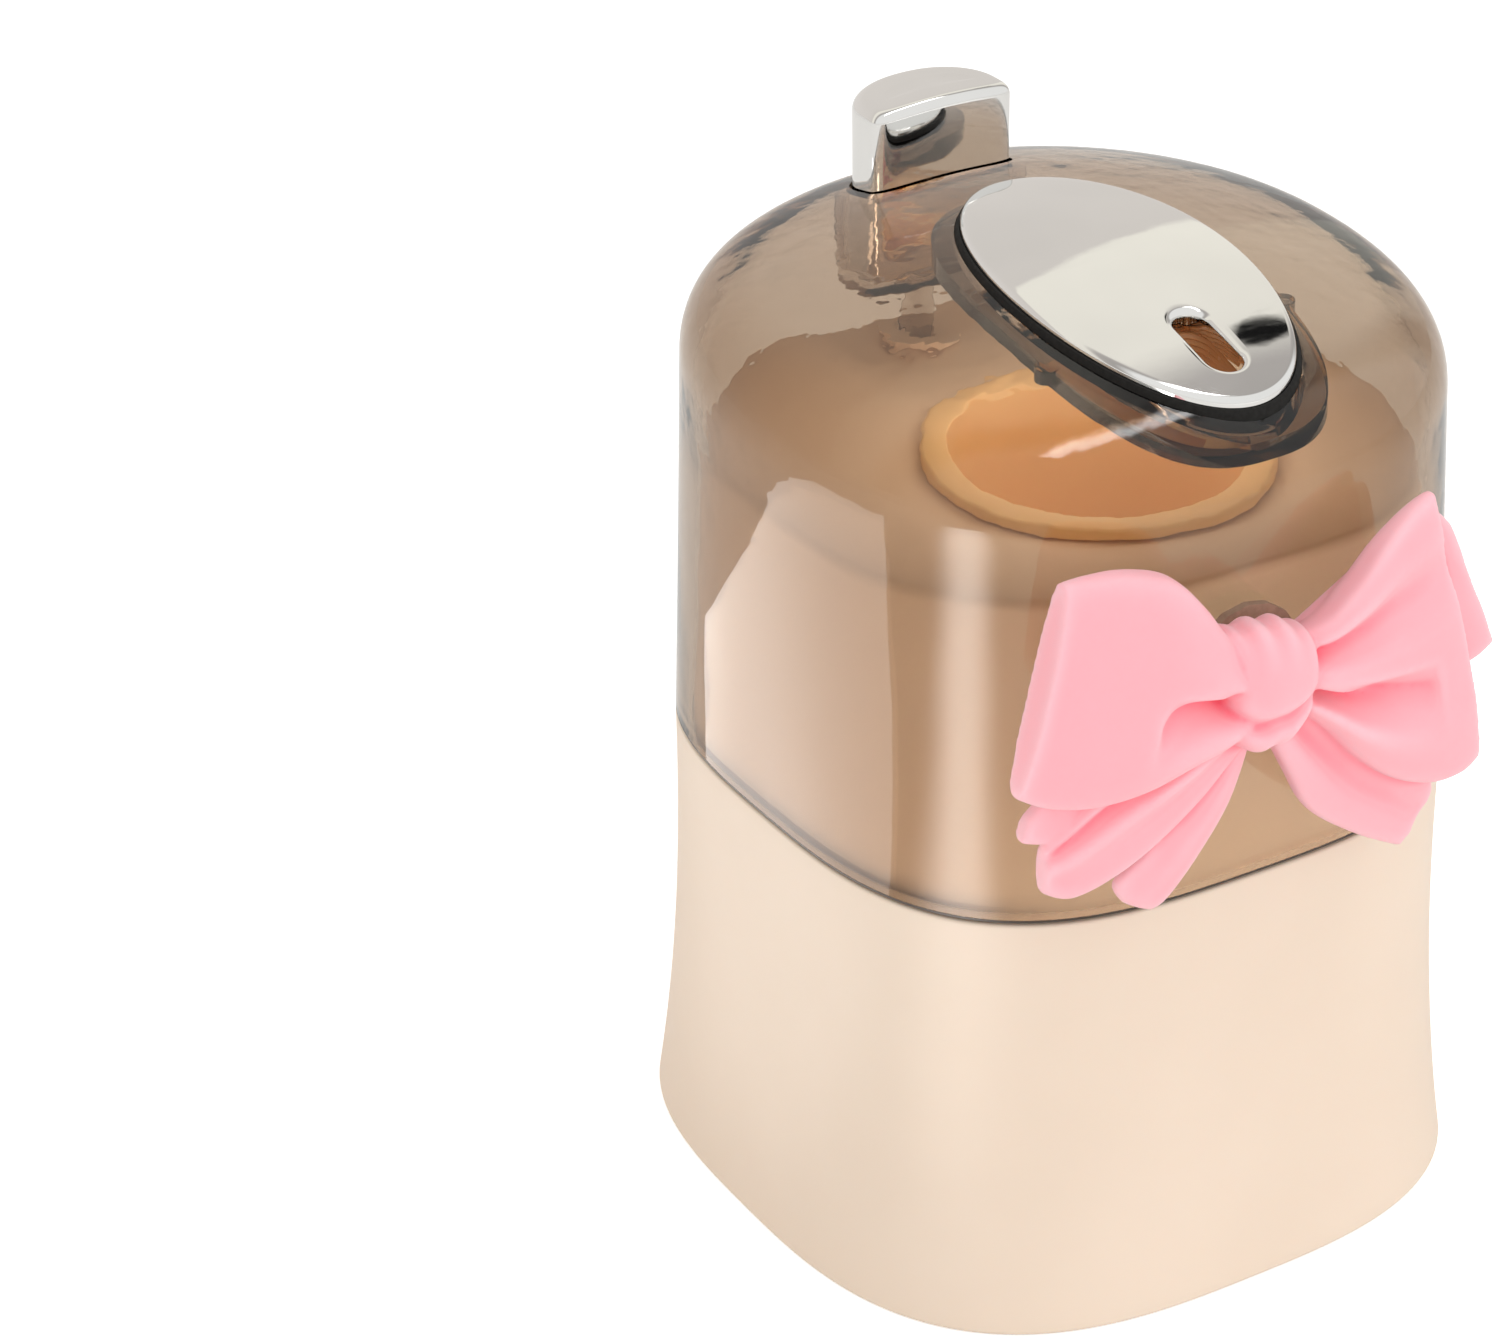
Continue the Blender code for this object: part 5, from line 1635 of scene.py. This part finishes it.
@dataclass
class Studio:
    """The camera at the photograph's angle, the floor and the soft lights."""

    azimuth: float = -35.0487
    elevation: float = 29.8045
    roll: float = -1.3269
    distance: float = 0.43540
    target_z: float = 0.04861
    focal_px: float = 4227.9607
    centre_px: tuple[float, float] = (1052.6817, 705.1826)
    image_px: tuple[int, int] = (1500, 1341)
    surroundings: tuple[tuple[float, Colour], ...] = (
        (-1.0, (0.95, 0.95, 0.94)), (-0.05, (0.95, 0.95, 0.94)), (0.10, (0.46, 0.44, 0.42)), (0.215, (0.52, 0.49, 0.47)),
        (0.30, (0.98, 0.95, 0.87)), (0.531, (1.0, 0.97, 0.88)), (0.536, (0.76, 0.72, 0.68)), (1.0, (0.84, 0.80, 0.77)),
    )
    surroundings_across: tuple[float, float, float] = (-0.197, 1.0, 0.0)
    hopper_light: str = "hopper_light"
    dark_spot: tuple[float, float, float] = (0.625, 0.40, 0.665)
    dark_spot_along: tuple[float, float, float] = (0.61, 0.27, -0.74)
    dark_spot_size: tuple[float, float, float] = (0.085, 0.030, 0.030)

    def build_camera(self) -> None:
        """Place the camera so that the object fills the same part of the image as in the photograph."""
        a, e, roll = (math.radians(angle) for angle in (self.azimuth, self.elevation, self.roll))
        back = Vector((math.sin(a) * math.cos(e), -math.cos(a) * math.cos(e), math.sin(e)))
        ahead = -back
        right = ahead.cross(Vector((0.0, 0.0, 1.0))).normalized()
        up = right.cross(ahead)
        right, up = (
            right * math.cos(roll) - up * math.sin(roll),
            right * math.sin(roll) + up * math.cos(roll),
        )
        turn = math.atan((self.centre_px[0] - self.image_px[0] / 2) / self.focal_px)
        right, ahead = (
            right * math.cos(turn) + ahead * math.sin(turn),
            ahead * math.cos(turn) - right * math.sin(turn),
        )
        tilt = math.atan((self.centre_px[1] - self.image_px[1] / 2) / self.focal_px)
        up, ahead = (
            up * math.cos(tilt) - ahead * math.sin(tilt),
            ahead * math.cos(tilt) + up * math.sin(tilt),
        )
        data = bpy.data.cameras.new("studio_camera")
        data.sensor_width = 36.0
        data.lens = self.focal_px / self.image_px[0] * data.sensor_width
        data.clip_start, data.clip_end = 0.01, 20.0
        camera = bpy.data.objects.new("studio_camera", data)
        bpy.context.scene.collection.objects.link(camera)
        camera.matrix_world = Matrix((
            (right.x, up.x, -ahead.x, back.x * self.distance),
            (right.y, up.y, -ahead.y, back.y * self.distance),
            (right.z, up.z, -ahead.z, back.z * self.distance + self.target_z),
            (0.0, 0.0, 0.0, 1.0),
        ))
        bpy.context.scene.camera = camera

    def build_floor(self) -> None:
        """A wide pale floor."""
        bm = bmesh.new()
        bmesh.ops.create_grid(bm, x_segments=4, y_segments=4, size=6.0)
        floor = Shop.mesh_object("studio_floor", bm)
        tree = Tree("pale floor")
        shader = tree.principled(Roughness=0.9, Specular_IOR_Level=0.1, Emission_Color=(1.0, 1.0, 1.0))
        path = tree.nodes.new("ShaderNodeLightPath")
        tree.links.new(tree.ranged(path.outputs["Is Camera Ray"], 0.0, 1.0, 0.0, 0.4), shader.inputs["Emission Strength"])
        cloud = tree.noise(0.35, 2.0)
        tree.links.new(tree.between(cloud, (0.95, 0.95, 0.95), (0.93, 0.93, 0.93)), shader.inputs["Base Color"])
        floor.data.materials.append(tree.show(shader))

    def build_world(self) -> None:
        """Pale surroundings that change with direction, with grey bands across them and a small dark spot."""
        world = bpy.data.worlds.new("studio_world")
        bpy.context.scene.world = world
        world.use_nodes = True
        nodes, links = world.node_tree.nodes, world.node_tree.links
        nodes.clear()
        output = nodes.new("ShaderNodeOutputWorld")
        background = nodes.new("ShaderNodeBackground")
        place = nodes.new("ShaderNodeTexCoord")
        across = nodes.new("ShaderNodeVectorMath")
        across.operation = "DOT_PRODUCT"
        links.new(place.outputs["Generated"], across.inputs[0])
        across.inputs[1].default_value = self.surroundings_across
        share = nodes.new("ShaderNodeMapRange")
        share.inputs["From Min"].default_value = -1.0
        links.new(across.outputs["Value"], share.inputs["Value"])
        ramp = nodes.new("ShaderNodeValToRGB")
        links.new(share.outputs["Result"], ramp.inputs["Fac"])
        ramp.color_ramp.elements.remove(ramp.color_ramp.elements[1])
        for spot, colour in self.surroundings:
            element = ramp.color_ramp.elements.new((spot + 1) / 2)
            element.color = (*colour, 1.0)
        ramp.color_ramp.elements.remove(ramp.color_ramp.elements[0])
        spot_place = nodes.new("ShaderNodeMapping")
        spot_place.vector_type = "TEXTURE"
        spot_place.inputs["Location"].default_value = self.dark_spot
        turn = Vector(self.dark_spot_along).to_track_quat("X", "Z").to_euler()
        spot_place.inputs["Rotation"].default_value = turn
        spot_place.inputs["Scale"].default_value = self.dark_spot_size
        links.new(place.outputs["Generated"], spot_place.inputs["Vector"])
        spot = nodes.new("ShaderNodeTexGradient")
        spot.gradient_type = "SPHERICAL"
        links.new(spot_place.outputs["Vector"], spot.inputs["Vector"])
        sharper = nodes.new("ShaderNodeMapRange")
        sharper.inputs["From Max"].default_value = 0.35
        links.new(spot.outputs["Fac"], sharper.inputs["Value"])
        mix = nodes.new("ShaderNodeMix")
        mix.data_type = "RGBA"
        mix.inputs[7].default_value = (0.01, 0.01, 0.01, 1.0)
        links.new(sharper.outputs["Result"], mix.inputs["Factor"])
        links.new(ramp.outputs["Color"], mix.inputs[6])
        links.new(mix.outputs[2], background.inputs["Color"])
        background.inputs["Strength"].default_value = 1.0
        links.new(background.outputs[0], output.inputs["Surface"])

    def lamp(self, name: str, place: Sequence[float], aim: Sequence[float], along: Sequence[float],
             size: Sequence[float], power: float, lit: bool = True, seen: bool = True) -> bpy.types.Object:
        """A rectangular soft light.

        Args:
            name: Its name.
            place: Where it stands.
            aim: The direction it shines in.
            along: The direction of its width.
            size: Its width and height.
            power: Its power in watts.
            lit: Whether it lights dull surfaces.
            seen: Whether reflections show it.

        Returns:
            The light's object.
        """
        data = bpy.data.lights.new(name, "AREA")
        data.shape = "RECTANGLE"
        data.size, data.size_y = size
        data.energy = power
        obj = bpy.data.objects.new(name, data)
        bpy.context.scene.collection.objects.link(obj)
        back = -Vector(aim).normalized()
        side = (Vector(along) - back * back.dot(Vector(along))).normalized()
        up = back.cross(side)
        obj.matrix_world = Matrix((
            (side.x, up.x, back.x, place[0]),
            (side.y, up.y, back.y, place[1]),
            (side.z, up.z, back.z, place[2]),
            (0.0, 0.0, 0.0, 1.0),
        ))
        obj.visible_camera = False
        obj.visible_diffuse = lit
        obj.visible_glossy = seen
        obj.visible_transmission = seen
        return obj

    def build_lights(self) -> None:
        """The lights: soft ones above, in front and at the left, and cards that only reflections show."""
        self.lamp("top_softbox", (-0.20, -0.10, 0.95), (0.2, 0.1, -0.9), (1, 0, 0), (0.8, 0.8), 1.08, seen=False)
        self.lamp("left_fill", (-0.85, 0.05, 0.40), (0.8, 0.0, -0.35), (0, 1, 0), (0.6, 0.5), 0.20, seen=False)
        front = self.lamp("front_fill", (0.30, -0.90, 0.22), (-0.3, 0.9, -0.17), (1, 0, 0), (0.6, 0.5), 1.75, seen=False)
        front.data.use_shadow = False
        glow = self.lamp("hopper_fill", (0.012, -0.078, 0.050), (0, 1, 0), (1, 0, 0), (0.05, 0.02), 0.034, seen=False)
        glow.data.color = (0.92, 0.96, 1.0)
        glow.data.use_shadow = False
        glow.light_linking.receiver_collection = bpy.data.collections.new(self.hopper_light)
        self.lamp("inner_glow", (0.0, -0.0065, 0.0915), (0, 0, -1), (1, 0, 0), (0.026, 0.026), 0.0045, seen=False)
        card = self.lamp("corner_card", (-0.165, -0.095, 0.002), (0, 0, 1), (-0.87, -0.49, 0), (0.22, 0.11), 0.20, False)
        self.soften(card)
        self.lamp("side_card", (-0.150, 0.055, 0.002), (0, 0, 1), (1, 0.08, 0), (0.19, 0.115), 0.14, False)
        strip = self.lamp("over_strip", (0.116, 0.003, 0.66), (-0.1, -0.03, -0.9), (0.41, 0.29, 0), (0.46, 0.09), 0.50, False)
        self.soften(strip)

    def light_inside(self, obj: bpy.types.Object) -> None:
        """Let the light for the inside reach a piece."""
        bpy.data.collections[self.hopper_light].objects.link(obj)

    def soften(self, lamp: bpy.types.Object) -> None:
        """Fade a light towards its long sides.

        Args:
            lamp: The light.
        """
        lamp.data.use_nodes = True
        nodes, links = lamp.data.node_tree.nodes, lamp.data.node_tree.links
        place = nodes.new("ShaderNodeNewGeometry")
        split = nodes.new("ShaderNodeSeparateXYZ")
        links.new(place.outputs["Parametric"], split.inputs["Vector"])
        rise = nodes.new("ShaderNodeMath")
        rise.operation = "PINGPONG"
        rise.inputs[1].default_value = 0.5
        links.new(split.outputs["Y"], rise.inputs[0])
        smooth = nodes.new("ShaderNodeMapRange")
        smooth.interpolation_type = "SMOOTHERSTEP"
        smooth.inputs["From Max"].default_value = 0.5
        smooth.inputs["To Max"].default_value = 2.0
        links.new(rise.outputs["Value"], smooth.inputs["Value"])
        links.new(smooth.outputs["Result"], nodes["Emission"].inputs["Strength"])

    def build(self) -> None:
        """Set up camera, floor, world, lights and plain colours."""
        self.build_camera()
        self.build_floor()
        self.build_world()
        self.build_lights()
        bpy.context.scene.view_settings.view_transform = "Standard"
        log.info("studio ready")


def main() -> None:
    """Build and dress the dispenser."""
    logging.basicConfig(level=logging.INFO, format="%(message)s")
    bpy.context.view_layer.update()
    studio = Studio()
    studio.build()
    palette = Palette()
    base = BaseAssembly()
    base.build_shell(palette)
    base.dress(palette)
    cover, button = CoverAssembly(), ButtonAssembly()
    hopper = HopperAssembly(cover)
    studio.light_inside(hopper.build_box(palette))
    hopper.build_cup(palette)
    mechanism = Mechanism()
    mechanism.build_spring(palette)
    mechanism.dress(palette)
    cover.build_shell(button, palette)
    cover.build_sleeve(button, palette)
    cover.build_foot_shade_band(palette)
    cover.build_skirt(palette)
    cover.build_seal(palette)
    plate = PlateAssembly(cover)
    plate.build_plate(palette)
    plate.build_guide(palette)
    button.build_cap(palette)
    button.build_retainer(palette)
    bow = BowAssembly(cover)
    bow.build_bow(palette)
    bow.dress(palette)


if __name__ == "__main__":
    main()
